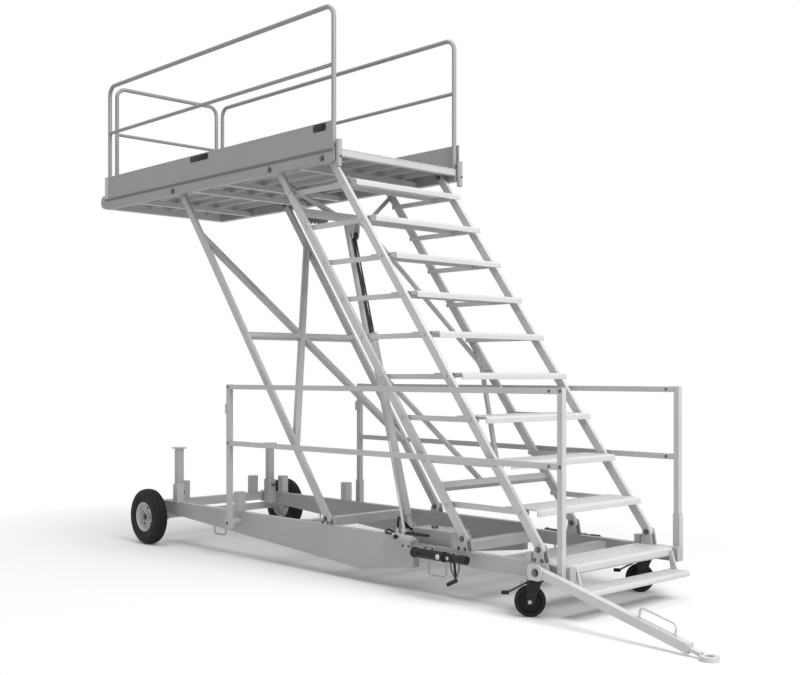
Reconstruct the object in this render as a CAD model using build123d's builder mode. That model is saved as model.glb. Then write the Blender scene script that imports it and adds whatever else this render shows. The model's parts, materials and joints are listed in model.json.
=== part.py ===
"""Towable maintenance platform with a self-levelling stair, raised by one hydraulic cylinder.

Millimetres. +X is the stair foot and drawbar end, +Y the left side, +Z up, the floor is Z = 0.
"""
import os
from math import cos, hypot, radians, sin

from build123d import *

os.makedirs("parts", exist_ok=True)

# Links: two pairs of stringers and one pair of legs, all parallel
link_angle = 53.13
link_length = 3444.0
link_wide = 30.0
link_deep = 60.0
link_y = 592.5
foot_z = 430.0
front_foot_x = 2075.0
rear_foot_x = 1412.0
leg_foot_x = -30.0
pivot_radius = 10.0
running_gap = 0.1

# Places along the links, as shares of their length
upper_beam_at = 0.874
lower_beam_at = 0.122
upper_brace_at = 0.453
lower_brace_at = 0.428
top_brace_at = 0.967
leg_brace_at = (0.2033, 0.839)
leg_bar_at = 0.5212
rod_eye_at = 0.8435
first_tread_at = 0.078
last_tread_at = 0.929

# Treads
tread_count = 9
tread_nose = 115.0
tread_back = 165.0
tread_plate = 8.0
tread_clear = 12.5
arm_wide = 30.0
arm_deep = 36.0
arm_pin_radius = 8.0

# Platform
deck_above = 64.8
deck_thick = 15.0
plank_count = 6
plank_gap = 4.0
rib_wide = 8.0
rib_deep = 40.0
front_overhang = 101.4
platform_length = 3390.0
beam_clear = 20.5
side_beam_wide = 60.0
side_beam_deep = 85.0
toe_height = 207.0
toe_thick = 12.0
rail_radius = 19.0
rail_height = 1091.0
rail_mid_at = 0.586
rail_bend = 90.0
roll_radius = 65.0
roll_behind = 105.0

# Chassis
beam_wide = 60.0
beam_top_z = 385.0
beam_rear_x = -2480.0
beam_flat_x = -2280.0
beam_belly_x = 380.0
beam_belly_z = 100.0
beam_front_x = 940.0
beam_front_z = 175.0
front_rail_z = (250.0, 345.0)
front_rail_end = 2330.0
guard_rear_out = 100.5
guard_rear_x = -1160.0
guard_front_x = 2280.0
guard_foot_z = 260.0
guard_top_z = 1435.0
guard_mid_z = 966.0
post_side = 40.0
guard_rail_side = 38.0
sleeve_wall = 6.0
sleeve_tall = 310.0
sleeve_short = 75.0
rest_side = 70.0
rest_tall = 165.0
stub_x = 1990.0
stub_side = 44.0
stub_tall = 60.0

# Wheels
axle_x = -2360.0
wheel_out = 152.5
tyre_radius = 250.0
tyre_wide = 124.0
rim_radius = 132.0
axle_radius = 20.0
castor_x = 2050.0
castor_out = 7.5
castor_radius = 100.0
castor_wide = 48.0
castor_trail = 45.0
castor_turn = 38.0
castor_axle = 10.0

# Cylinder
base_x = 249.0
base_z = 340.0
eye_below = 110.0
barrel_length = 1590.0
barrel_radius = 38.0
barrel_start = 90.0
rod_radius = 22.5
rod_inside = 190.0

# Pump and oil tank
pump_x = 880.0
pump_z = 390.0
pump_out = 29.5
lever_lean = 172.0
lever_in = 14.0
lever_rise = 630.0
tank_long = 400.0
tank_wide = 190.0
tank_tall = 120.0
hose_radius = 9.0

# Jacks and drawbar
leg_jack_x = -2262.0
leg_jack_in = 46.5
leg_jack_side = 60.0
leg_jack_foot_z = 300.0
leg_jack_top_z = 860.0
swing_jack_x = 1110.0
swing_jack_out = 97.5
swing_jack_z = 310.0
swing_jack_radius = 33.0
swing_jack_reach = 440.0
draw_x = 2140.0
draw_out = 63.4
draw_z = 305.0
draw_side = 54.0
draw_turn = 4.38
ear_long = 120.0
ear_tall = 102.0
ear_thick = 10.0
eye_tip_x = 3450.0
eye_radius = 55.0
eye_bore = 25.0
eye_thick = 26.0

# Derived places
run_x = -cos(radians(link_angle))
run_z = sin(radians(link_angle))
beam_in = link_y - beam_wide / 2
beam_out = link_y + beam_wide / 2
link_in = link_y - link_wide / 2
link_out = link_y + link_wide / 2
beam_bottom_z = tyre_radius + 30.0
guard_rear_y = beam_out + guard_rear_out
guard_front_y = beam_out + post_side / 2
wheel_y = beam_out + wheel_out
castor_y = link_y + castor_out
leg_jack_y = beam_in - leg_jack_in
swing_jack_y = beam_out + swing_jack_out
pump_y = -beam_out - pump_out
draw_y = -beam_out - draw_out
tread_half = link_in - tread_clear
tread_first = first_tread_at * link_length
tread_pitch = (last_tread_at - first_tread_at) * link_length / (tread_count - 1)
upper_beam = upper_beam_at * link_length
lower_beam = lower_beam_at * link_length
upper_brace = upper_brace_at * link_length
lower_brace = lower_brace_at * link_length
eye_along = rod_eye_at * link_length
deck_z = foot_z + link_length * run_z + deck_above
platform_front_x = front_foot_x + link_length * run_x + front_overhang
platform_rear_x = platform_front_x - platform_length
side_in = link_out + beam_clear
platform_half = side_in + side_beam_wide
toe_top_z = deck_z + toe_height
rail_top_z = deck_z + rail_height
rail_mid_z = deck_z + rail_mid_at * rail_height
roll_x = platform_rear_x - roll_behind
deck_under = deck_z - deck_thick
beam_under = deck_under - side_beam_deep
frame_rear_x = roll_x + roll_radius
frame_front_x = platform_front_x + 40.0
SIDES = (-1, 1)
LOW = (Align.CENTER, Align.CENTER, Align.MIN)


def on_link(foot_x, along, below=0.0):
    """Place on a link's axis; below is square to the link, on its under side."""
    return foot_x + along * run_x - below * run_z, foot_z + along * run_z + below * run_x


def bar(start, end, wide, deep, across=(0, 1, 0)):
    """Straight rectangular bar; wide is measured along the across direction."""
    run = Vector(*end) - Vector(*start)
    with Locations(Plane(origin=start, x_dir=across, z_dir=run)):
        Box(wide, deep, run.length, align=LOW)


def rod(start, end, radius, mode=Mode.ADD):
    """Round bar or, in subtract mode, round hole."""
    run = Vector(*end) - Vector(*start)
    with Locations(Plane(origin=start, z_dir=run)):
        Cylinder(radius, run.length, align=LOW, mode=mode)


def block(x_span, y_span, z_span, mode=Mode.ADD):
    """Box between three pairs of limits."""
    spans = (x_span, y_span, z_span)
    with Locations(tuple((low + high) / 2 for low, high in spans)):
        Box(*(abs(high - low) for low, high in spans), mode=mode)


def bent_tube(points, bend, radius):
    """Round tube along straight runs joined by tangent arcs."""
    with BuildLine() as route:
        FilletPolyline(*points, radius=bend)
    with BuildSketch(Plane(origin=route.line @ 0, z_dir=route.line % 0)) as section:
        Circle(radius)
    sweep(section.sketch, path=route.line)


def link_plane(foot_x, y):
    """Plane whose X runs up the link and whose Y points off its upper side."""
    return Plane(origin=(foot_x, y, foot_z), x_dir=(run_x, 0, run_z), z_dir=(0, 1, 0))


def link(foot_x, side):
    """Flat link with round ends and a bore at each end."""
    with BuildSketch(link_plane(foot_x, side * link_y)) as outline:
        with Locations((link_length / 2, 0)):
            SlotCenterToCenter(link_length, link_deep)
        with Locations((0, 0), (link_length, 0)):
            Circle(pivot_radius + running_gap, mode=Mode.SUBTRACT)
    extrude(outline.sketch, amount=link_wide / 2, both=True)


def tread_pins(foot_x, side):
    """Stub pins on a stringer's inner face, one for each tread arm."""
    for number in range(tread_count):
        x, z = on_link(foot_x, tread_first + number * tread_pitch)
        inner = tread_half - arm_wide - 6
        rod((x, side * inner, z), (x, side * (link_in + 1), z), arm_pin_radius)


def in_frame(foot_x, along_1, y_1, along_2, y_2, size, below=0.0):
    """Square brace between a pair of links, in their plane or a little below it."""
    x_1, z_1 = on_link(foot_x, along_1, below)
    x_2, z_2 = on_link(foot_x, along_2, below)
    bar((x_1, y_1, z_1), (x_2, y_2, z_2), size, size, across=(run_z, 0, -run_x))


# Chassis side beams, deepest at mid length
with BuildPart() as side_beams:
    with BuildSketch(Plane.XZ) as beam_profile:
        with BuildLine():
            Polyline(
                (beam_rear_x, beam_top_z),
                (beam_rear_x, beam_bottom_z),
                (beam_flat_x, beam_bottom_z),
                (beam_belly_x, beam_belly_z),
                (beam_front_x, beam_front_z),
                (beam_front_x, beam_top_z),
                close=True,
            )
        make_face()
    for side in SIDES:
        with Locations((0, side * link_y, 0)):
            add(extrude(beam_profile.sketch, amount=beam_wide / 2, both=True, mode=Mode.PRIVATE))
side_beams.part.label = "side_beams"
export_step(side_beams.part, "parts/side_beams.step")

# Front rails
with BuildPart() as front_rails:
    for side in SIDES:
        block((beam_front_x, front_rail_end), (side * beam_in, side * beam_out), front_rail_z)
front_rails.part.label = "front_rails"
export_step(front_rails.part, "parts/front_rails.step")

# Cross members: place along X, width, bottom and top
cross_table = (
    (axle_x - 8.0, 70.0, 310.0, beam_top_z),
    (-360.0, 80.0, 315.0, beam_top_z),
    (base_x, 130.0, 185.0, 285.0),
    (1010.0, 120.0, 255.0, 320.0),
    (1700.0, 60.0, 265.0, 330.0),
)
with BuildPart() as cross_members:
    for x, wide, bottom, top in cross_table:
        block((x - wide / 2, x + wide / 2), (-beam_in, beam_in), (bottom, top))
cross_members.part.label = "cross_members"
export_step(cross_members.part, "parts/cross_members.step")

# Rear axle under the beams, with a spindle at each end
with BuildPart() as rear_axle:
    block((axle_x - 30, axle_x + 30), (-beam_out, beam_out), (beam_bottom_z - 60, beam_bottom_z))
    for side in SIDES:
        rod((axle_x, side * beam_out, tyre_radius), (axle_x, side * (beam_out + 14), tyre_radius), 34)
        rod((axle_x, side * beam_out, tyre_radius), (axle_x, side * (wheel_y + 34), tyre_radius), axle_radius)
rear_axle.part.label = "rear_axle"
export_step(rear_axle.part, "parts/rear_axle.step")

# Link feet: two ears and a pin on each side; the seat is the beam or the lower front rail
with BuildPart() as link_feet:
    for foot_x, seat in ((leg_foot_x, beam_top_z), (rear_foot_x, front_rail_z[1]), (front_foot_x, front_rail_z[1])):
        for side in SIDES:
            for inner, outer in ((beam_in, link_in - 5), (link_out + 5, beam_out)):
                with BuildSketch(Plane.XZ.offset(-side * inner)) as ear:
                    with BuildLine():
                        Polyline(
                            (foot_x - 48, seat),
                            (foot_x + 48, seat),
                            (foot_x + 28, foot_z + 28),
                            (foot_x - 28, foot_z + 28),
                            close=True,
                        )
                    make_face()
                    fillet(ear.vertices().group_by(Axis.Y)[-1], 24)
                extrude(amount=-side * (outer - inner))
            rod((foot_x, side * beam_in, foot_z), (foot_x, side * beam_out, foot_z), pivot_radius)
link_feet.part.label = "link_feet"
export_step(link_feet.part, "parts/link_feet.step")

# Guard sockets on the chassis sides: place along X, side, place along Y, height
post_half = post_side / 2
hole = post_half + running_gap
shell = hole + sleeve_wall
socket_table = (
    (guard_rear_x, -1, guard_rear_y, sleeve_short),
    (guard_rear_x, 1, guard_rear_y, sleeve_tall),
    (guard_front_x, 1, guard_front_y, sleeve_tall),
)
with BuildPart() as guard_sockets:
    for x, side, y, tall in socket_table:
        if y - shell > beam_out:
            block((x - 28, x + 28), (side * beam_out, side * y), (guard_foot_z + 40, guard_foot_z + sleeve_short))
        block(
            (x - shell, x + shell),
            (side * max(y - shell, beam_out), side * (y + shell)),
            (guard_foot_z - 8, guard_foot_z + tall),
        )
        block(
            (x - hole, x + hole),
            (side * max(y - hole, beam_out), side * (y + hole)),
            (guard_foot_z, guard_foot_z + tall),
            mode=Mode.SUBTRACT,
        )
guard_sockets.part.label = "guard_sockets"
export_step(guard_sockets.part, "parts/guard_sockets.step")

# Chassis guards: square posts, the rear ones set out and with a small bracket, and two rails a side
with BuildPart() as chassis_posts:
    for side in SIDES:
        for x, y in ((guard_rear_x, guard_rear_y), (guard_front_x, guard_front_y)):
            block(
                (x - post_half, x + post_half),
                (side * (y - post_half), side * (y + post_half)),
                (guard_foot_z, guard_top_z + guard_rail_side / 2 + 2),
            )
        back = guard_rear_x - post_half
        y = side * guard_rear_y
        block((back - 40, back), (y - 5, y + 5), (guard_top_z - 225, guard_top_z - 140))
chassis_posts.part.label = "chassis_posts"
export_step(chassis_posts.part, "parts/chassis_posts.step")

with BuildPart() as chassis_rails:
    for side in SIDES:
        for z in (guard_mid_z, guard_top_z):
            bar(
                (guard_rear_x, side * guard_rear_y, z),
                (guard_front_x, side * guard_front_y, z),
                guard_rail_side,
                guard_rail_side,
            )
    add(chassis_posts.part, mode=Mode.SUBTRACT)
chassis_rails.part.label = "chassis_rails"
export_step(chassis_rails.part, "parts/chassis_rails.step")

# Fixed step between the front rails, with a rounded nose
step_nose_x = 2290.0
with BuildPart() as fixed_step:
    with BuildSketch(Plane.XZ) as step_profile:
        with BuildLine():
            Polyline(
                (step_nose_x, front_rail_z[1]),
                (step_nose_x - 290, front_rail_z[1]),
                (step_nose_x - 290, front_rail_z[1] - 45),
                (step_nose_x - 280, front_rail_z[1] - 45),
                (step_nose_x - 280, front_rail_z[1] - 10),
                (step_nose_x - 40, front_rail_z[1] - 10),
                (step_nose_x - 40, front_rail_z[1] - 60),
                (step_nose_x, front_rail_z[1] - 60),
                close=True,
            )
        make_face()
        fillet(step_profile.vertices().group_by(Axis.X)[-1], 18)
    extrude(amount=beam_in, both=True)
fixed_step.part.label = "fixed_step"
export_step(fixed_step.part, "parts/fixed_step.step")

# Lower step on two hangers below the fixed step
lower_step_z = 185.0
lower_nose_x = 2440.0
lower_half = beam_in - 20
with BuildPart() as lower_step:
    with BuildSketch(Plane.XZ) as lower_profile:
        with Locations((lower_nose_x - 75, lower_step_z)):
            Rectangle(150, 40)
        fillet(lower_profile.vertices().group_by(Axis.X)[-1], 18)
    extrude(amount=lower_half, both=True)
    for side in SIDES:
        y = side * (lower_half - 15)
        with BuildSketch(Plane.XZ.offset(-y)):
            with BuildLine():
                Polyline(
                    (step_nose_x, front_rail_z[1] - 58),
                    (step_nose_x, front_rail_z[1] - 18),
                    (step_nose_x + 20, front_rail_z[1] - 18),
                    (lower_nose_x - 90, lower_step_z + 15),
                    (lower_nose_x - 135, lower_step_z - 15),
                    close=True,
                )
            make_face()
        extrude(amount=8, both=True)
lower_step.part.label = "lower_step"
export_step(lower_step.part, "parts/lower_step.step")

# Sleeves of the rear drop legs, on the inner faces of the side beams
with BuildPart() as leg_sleeves:
    for side in SIDES:
        y = side * leg_jack_y
        sleeve_top = beam_top_z + 130
        block((leg_jack_x - 40, leg_jack_x + 40), (y - 40, y + 40), (beam_bottom_z + 4, sleeve_top))
        block((leg_jack_x - 40, leg_jack_x + 40), (y, side * beam_in), (beam_bottom_z + 4, beam_top_z))
        inside = leg_jack_side / 2 + 0.3
        block(
            (leg_jack_x - inside, leg_jack_x + inside),
            (y - inside, y + inside),
            (beam_bottom_z, sleeve_top + 5),
            mode=Mode.SUBTRACT,
        )
leg_sleeves.part.label = "leg_sleeves"
export_step(leg_sleeves.part, "parts/leg_sleeves.step")

# Rest posts for the lowered frame: place along X and Y, seat height, side, height
rest_table = (
    (-2150.0, link_y, beam_top_z, rest_side, rest_tall),
    (axle_x - 8.0, 390.0, beam_top_z, rest_side, rest_tall),
    (-1200.0, link_y, beam_top_z, rest_side, rest_tall),
    (stub_x, link_y, front_rail_z[1], stub_side, stub_tall),
)
with BuildPart() as rest_posts:
    for x, y, seat, wide, tall in rest_table:
        for side in SIDES:
            half = wide / 2
            block((x - half, x + half), (side * y - half, side * y + half), (seat, seat + tall))
rest_posts.part.label = "rest_posts"
export_step(rest_posts.part, "parts/rest_posts.step")

# Cylinder foot: two ears and a pin on the cross member
with BuildPart() as cylinder_foot:
    for side in SIDES:
        with BuildSketch(Plane.XZ.offset(-side * 24)) as foot_ear:
            with BuildLine():
                Polyline(
                    (base_x - 55, 285),
                    (base_x + 55, 285),
                    (base_x + 34, base_z + 34),
                    (base_x - 34, base_z + 34),
                    close=True,
                )
            make_face()
            fillet(foot_ear.vertices().group_by(Axis.Y)[-1], 24)
        extrude(amount=-side * 12)
    rod((base_x, -36, base_z), (base_x, 36, base_z), 14)
cylinder_foot.part.label = "cylinder_foot"
export_step(cylinder_foot.part, "parts/cylinder_foot.step")

# Hand pump: body on a bracket outside the right beam, long lever and pedal bar
with BuildPart() as pump:
    block((pump_x - 50, pump_x + 50), (-beam_out, pump_y + 14), (pump_z - 90, pump_z - 18))
    rod((pump_x - 80, pump_y, pump_z), (pump_x + 105, pump_y, pump_z), 24)
    block((pump_x - 20, pump_x + 20), (pump_y - 18, pump_y + 18), (pump_z - 24, pump_z + 28))
    rod((pump_x + 105, pump_y, pump_z), (pump_x + 130, pump_y, pump_z), 16)
pump.part.label = "pump"
export_step(pump.part, "parts/pump.step")

lever_foot_z = pump_z + 28
with BuildPart() as pump_lever:
    bar((pump_x, pump_y, lever_foot_z), (pump_x, pump_y, lever_foot_z + 28), 22, 40)
    rod(
        (pump_x, pump_y, lever_foot_z + 12),
        (pump_x - lever_lean, pump_y + lever_in, lever_foot_z + 12 + lever_rise),
        9,
    )
pump_lever.part.label = "pump_lever"
export_step(pump_lever.part, "parts/pump_lever.step")

with BuildPart() as pump_pedal:
    block((pump_x + 25, pump_x + 240), (pump_y - 16, pump_y + 16), (pump_z + 24, pump_z + 40))
pump_pedal.part.label = "pump_pedal"
export_step(pump_pedal.part, "parts/pump_pedal.step")

# Oil tank with its cap, on the front cross member
tank_x = pump_x - 60
tank_y = -beam_in + 42.5
tank_z = 320.0
with BuildPart() as oil_tank:
    block((tank_x, tank_x + tank_long), (tank_y, tank_y + tank_wide), (tank_z, tank_z + tank_tall))
    fillet(oil_tank.edges().filter_by(Axis.Z), 20)
    with Locations((tank_x + 140, tank_y + tank_wide / 2, tank_z + tank_tall)):
        Cylinder(22, 18, align=LOW)
oil_tank.part.label = "oil_tank"
export_step(oil_tank.part, "parts/oil_tank.step")

# Hoses from the pump, over the beam, to the cylinder's foot and to the tank
over_beam = beam_top_z + hose_radius + 4
pump_back = pump_x - 80
with BuildPart() as pump_hoses:
    bent_tube(
        (
            (pump_back, pump_y, pump_z + 8),
            (pump_back - 130, pump_y, over_beam),
            (pump_back - 300, -beam_in + 100, over_beam),
            (base_x + 90, -220, base_z - 30),
            (base_x + 30, -130, base_z - 30),
            (base_x + 30, -36, base_z - 30),
        ),
        45,
        hose_radius,
    )
    bent_tube(
        (
            (pump_back + 14, pump_y, pump_z + 10),
            (pump_back + 14, pump_y, pump_z + 125),
            (pump_back - 60, -beam_in, pump_z + 125),
            (tank_x - 80, tank_y + 70, tank_z + 80),
            (tank_x + 1, tank_y + 70, tank_z + 80),
        ),
        42,
        hose_radius,
    )
    add(pump.part, mode=Mode.SUBTRACT)
    add(oil_tank.part, mode=Mode.SUBTRACT)
pump_hoses.part.label = "pump_hoses"
export_step(pump_hoses.part, "parts/pump_hoses.step")

# Tie-down loops under the beams: place along X, width, seat height, depth
loop_table = ((-1490.0, 170.0, 260.0, 100.0), (1150.0, 170.0, front_rail_z[0], 110.0))
with BuildPart() as tie_loops:
    for x, wide, seat, drop in loop_table:
        for side in SIDES:
            y = side * link_y
            bent_tube(
                (
                    (x - wide / 2, y, seat),
                    (x - wide / 2, y, seat - drop),
                    (x + wide / 2, y, seat - drop),
                    (x + wide / 2, y, seat),
                ),
                28,
                7,
            )
    for side in SIDES:
        with Locations((0, side * link_y, 0)):
            add(
                extrude(beam_profile.sketch, amount=beam_wide / 2, both=True, mode=Mode.PRIVATE),
                mode=Mode.SUBTRACT,
            )
tie_loops.part.label = "tie_loops"
export_step(tie_loops.part, "parts/tie_loops.step")

# Front stringers with their tread pins
with BuildPart() as front_stringers:
    for side in SIDES:
        link(front_foot_x, side)
        tread_pins(front_foot_x, side)
front_stringers.part.label = "front_stringers"
export_step(front_stringers.part, "parts/front_stringers.step")

# Rear stringers with tread pins, and a gusset where the braces meet each link
brace_below = 38.0
gusset = 8.0
with BuildPart() as rear_stringers:
    for side in SIDES:
        link(rear_foot_x, side)
        tread_pins(rear_foot_x, side)
        with BuildSketch(link_plane(rear_foot_x, side * link_in)) as plate:
            with Locations(((upper_brace + lower_brace) / 2, -22)):
                Rectangle(upper_brace - lower_brace + 100, 66)
            fillet(plate.vertices(), 12)
        extrude(plate.sketch, amount=-side * gusset)
rear_stringers.part.label = "rear_stringers"
export_step(rear_stringers.part, "parts/rear_stringers.step")

# Cross-beams between the rear stringers, the upper one with the rod's clevis
with BuildPart() as rear_cross_beams:
    for along in (upper_beam, lower_beam):
        in_frame(rear_foot_x, along, -link_in, along, link_in, 50, 15)
    for side in SIDES:
        x, z = on_link(rear_foot_x, upper_beam, 15)
        eye_x, eye_z = on_link(rear_foot_x, eye_along, eye_below)
        bar((x, side * 32, z), (eye_x, side * 32, eye_z), 12, 64)
        rod((eye_x, side * 26, eye_z), (eye_x, side * 38, eye_z), 32)
rear_cross_beams.part.label = "rear_cross_beams"
export_step(rear_cross_beams.part, "parts/rear_cross_beams.step")

# Rear braces: place along the link and off the middle at the beam, place at the link, size, depth below
brace_table = (
    (upper_beam - 15, 90.0, upper_brace, 28.0, brace_below),
    (lower_beam + 15, 90.0, lower_brace, 28.0, brace_below),
    (upper_beam + 15, 180.0, top_brace_at * link_length, 34.0, 20.0),
)
with BuildPart() as rear_braces:
    for beam_along, beam_y, link_along, size, below in brace_table:
        far_along = link_along + (link_along - beam_along) * 0.1
        far_y = link_in + (link_in - beam_y) * 0.1
        for side in SIDES:
            in_frame(rear_foot_x, beam_along, side * beam_y, far_along, side * far_y, size, below)
    for side in SIDES:
        block(
            (-link_length, link_length),
            (side * link_in, side * (link_in + 200)),
            (0, 2 * link_length),
            mode=Mode.SUBTRACT,
        )
    add(rear_stringers.part, mode=Mode.SUBTRACT)
    add(rear_cross_beams.part, mode=Mode.SUBTRACT)
rear_braces.part.label = "rear_braces"
export_step(rear_braces.part, "parts/rear_braces.step")

# Leg frame: two legs, crossed braces and a middle bar
brace_low, brace_high = (share * link_length for share in leg_brace_at)
leg_bar = leg_bar_at * link_length
with BuildPart() as legs:
    for side in SIDES:
        link(leg_foot_x, side)
        wall = link_in + 2
        in_frame(leg_foot_x, brace_low, -side * wall, brace_high, side * wall, 30)
    in_frame(leg_foot_x, leg_bar, -link_in - 2, leg_bar, link_in + 2, 34)
legs.part.label = "legs"
export_step(legs.part, "parts/legs.step")

# Treads: folded plate with a rounded nose on two arms
for number in range(tread_count):
    pin_x, pin_z = on_link(front_foot_x, tread_first + number * tread_pitch)
    top = pin_z + arm_deep / 2 + tread_plate
    with BuildPart() as tread:
        with BuildSketch(Plane.XZ) as pan:
            with BuildLine():
                Polyline(
                    (pin_x + tread_nose, top),
                    (pin_x - tread_back, top),
                    (pin_x - tread_back, top - 34),
                    (pin_x - tread_back + tread_plate, top - 34),
                    (pin_x - tread_back + tread_plate, top - tread_plate),
                    (pin_x + tread_nose - tread_plate, top - tread_plate),
                    (pin_x + tread_nose - tread_plate, top - 46),
                    (pin_x + tread_nose, top - 46),
                    close=True,
                )
            make_face()
            nose = pan.vertices().group_by(Axis.X)[-1].sort_by(Axis.Y)[-1]
            fillet(nose, 20)
        extrude(amount=tread_half, both=True)
        for side in SIDES:
            arm_y = side * (tread_half - arm_wide / 2)
            with BuildSketch(Plane.XZ.offset(-arm_y)):
                with Locations(((pin_x + pin_x - front_foot_x + rear_foot_x) / 2, pin_z)):
                    SlotCenterToCenter(front_foot_x - rear_foot_x, arm_deep)
            extrude(amount=arm_wide / 2, both=True)
            for x in (pin_x, pin_x - front_foot_x + rear_foot_x):
                rod(
                    (x, arm_y - arm_wide, pin_z),
                    (x, arm_y + arm_wide, pin_z),
                    arm_pin_radius + running_gap,
                    Mode.SUBTRACT,
                )
    tread.part.label = f"tread_{number + 1}"
    export_step(tread.part, f"parts/tread_{number + 1}.step")

# Platform frame: side beams with front sockets, link pins and cross-beams
socket_x = frame_front_x + 22.0
socket_y = platform_half - 30
socket_z = (beam_under - 45, deck_z + 60)
with BuildPart() as platform_beams:
    for side in SIDES:
        block(
            (frame_rear_x, frame_front_x),
            (side * side_in, side * platform_half),
            (beam_under, deck_under),
        )
        with Locations((socket_x, side * socket_y, socket_z[0])):
            Cylinder(23, socket_z[1] - socket_z[0], align=LOW)
            Cylinder(17, socket_z[1] - socket_z[0], align=LOW, mode=Mode.SUBTRACT)
platform_beams.part.label = "platform_beams"
export_step(platform_beams.part, "parts/platform_beams.step")

with BuildPart() as platform_pins:
    for foot_x in (front_foot_x, rear_foot_x, leg_foot_x):
        x, z = on_link(foot_x, link_length)
        for side in SIDES:
            rod((x, side * (link_in - 10), z), (x, side * side_in, z), pivot_radius)
platform_pins.part.label = "platform_pins"
export_step(platform_pins.part, "parts/platform_pins.step")

# Cross-beams: place along X, width, bottom and top
rib_under = deck_under - rib_deep
lateral_table = [(frame_rear_x + 30, 60.0, beam_under, deck_under)]
for share in (0.156, 0.425, 0.569, 0.870):
    lateral_table.append((platform_rear_x + share * platform_length, 50.0, beam_under, rib_under))
lateral_table.append((frame_front_x - 25, 50.0, rib_under, deck_under))
with BuildPart() as platform_cross_beams:
    for x, wide, bottom, top in lateral_table:
        block((x - wide / 2, x + wide / 2), (-side_in, side_in), (bottom, top))
platform_cross_beams.part.label = "platform_cross_beams"
export_step(platform_cross_beams.part, "parts/platform_cross_beams.step")

# Deck planks: plates with two ribs below, which stand on the cross-beams
deck_half = platform_half - toe_thick
plank_wide = (2 * deck_half - (plank_count - 1) * plank_gap) / plank_count
with BuildPart() as deck_planks:
    for number in range(plank_count):
        low = -deck_half + number * (plank_wide + plank_gap)
        block((frame_rear_x + toe_thick, frame_front_x - 3), (low, low + plank_wide), (deck_under, deck_z))
        for rib_low in (low, low + plank_wide - rib_wide):
            if abs(rib_low + rib_wide / 2) < side_in - rib_wide:
                block(
                    (frame_rear_x + 62, frame_front_x - 52),
                    (rib_low, rib_low + rib_wide),
                    (rib_under, deck_under),
                )
deck_planks.part.label = "deck_planks"
export_step(deck_planks.part, "parts/deck_planks.step")

# Toeboards on three sides
with BuildPart() as toeboards:
    for side in SIDES:
        block(
            (frame_rear_x, platform_front_x + 30),
            (side * deck_half, side * platform_half),
            (deck_under, toe_top_z),
        )
    block((frame_rear_x, frame_rear_x + toe_thick), (-deck_half, deck_half), (deck_under, toe_top_z))
toeboards.part.label = "toeboards"
export_step(toeboards.part, "parts/toeboards.step")

# Platform side guards
platform_rail_y = deck_half - rail_radius - 1
with BuildPart() as platform_guards:
    for side in SIDES:
        y = side * platform_rail_y
        bent_tube(
            (
                (platform_rear_x, y, deck_z),
                (platform_rear_x, y, rail_top_z),
                (platform_front_x, y, rail_top_z),
                (platform_front_x, y, deck_z),
            ),
            rail_bend,
            rail_radius,
        )
platform_guards.part.label = "platform_guards"
export_step(platform_guards.part, "parts/platform_guards.step")

with BuildPart() as platform_mid_rails:
    for side in SIDES:
        y = side * platform_rail_y
        rod((platform_rear_x, y, rail_mid_z), (platform_front_x, y, rail_mid_z), rail_radius - 3)
        for x in (platform_rear_x, platform_front_x):
            rod((x, y, rail_mid_z - 80), (x, y, rail_mid_z + 80), rail_radius, Mode.SUBTRACT)
platform_mid_rails.part.label = "platform_mid_rails"
export_step(platform_mid_rails.part, "parts/platform_mid_rails.step")

# End guard across the rear
end_guard_y = platform_rail_y - 4 * rail_radius
with BuildPart() as end_guard:
    bent_tube(
        (
            (platform_rear_x, -end_guard_y, deck_z),
            (platform_rear_x, -end_guard_y, rail_top_z),
            (platform_rear_x, end_guard_y, rail_top_z),
            (platform_rear_x, end_guard_y, deck_z),
        ),
        rail_bend,
        rail_radius,
    )
    rod((platform_rear_x, -end_guard_y, rail_mid_z), (platform_rear_x, end_guard_y, rail_mid_z), rail_radius - 3)
end_guard.part.label = "end_guard"
export_step(end_guard.part, "parts/end_guard.step")

# Bumper roll along the rear edge
with BuildPart() as bumper_roll:
    rod((roll_x, -platform_half + 20, deck_z - 20), (roll_x, platform_half - 20, deck_z - 20), roll_radius)
bumper_roll.part.label = "bumper_roll"
export_step(bumper_roll.part, "parts/bumper_roll.step")

# Cylinder: barrel with foot eye, hollow, and rod with piston and eye
eye_x, eye_z = on_link(rear_foot_x, eye_along, eye_below)
reach = hypot(eye_x - base_x, eye_z - base_z)
aim = Plane(origin=(base_x, 0, base_z), x_dir=(0, 1, 0), z_dir=(eye_x - base_x, 0, eye_z - base_z))
with BuildPart() as barrel:
    with Locations(aim.offset(barrel_start)):
        Cylinder(barrel_radius, barrel_length - barrel_start, align=LOW)
    with Locations(aim.offset(barrel_length - 60)):
        Cylinder(barrel_radius + 6, 60, align=LOW)
    with Locations(aim.offset(barrel_start + 25)):
        Cylinder(barrel_radius - 8, barrel_length - barrel_start - 65, align=LOW, mode=Mode.SUBTRACT)
        Cylinder(rod_radius + running_gap, barrel_length, align=LOW, mode=Mode.SUBTRACT)
    with Locations(aim):
        Box(42, 50, barrel_start, align=LOW)
    rod((base_x, -21, base_z), (base_x, 21, base_z), 32)
    rod((base_x, -60, base_z), (base_x, 60, base_z), 14 + running_gap, Mode.SUBTRACT)
barrel.part.label = "barrel"
export_step(barrel.part, "parts/barrel.step")

with BuildPart() as piston_rod:
    with Locations(aim.offset(barrel_length - rod_inside)):
        Cylinder(rod_radius, reach - barrel_length + rod_inside - 20, align=LOW)
        Cylinder(barrel_radius - 8 - running_gap, 60, align=LOW)
    rod((eye_x, -22, eye_z), (eye_x, 22, eye_z), 34)
    rod((eye_x, -30, eye_z), (eye_x, 30, eye_z), 15, Mode.SUBTRACT)
piston_rod.part.label = "piston_rod"
export_step(piston_rod.part, "parts/piston_rod.step")

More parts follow.
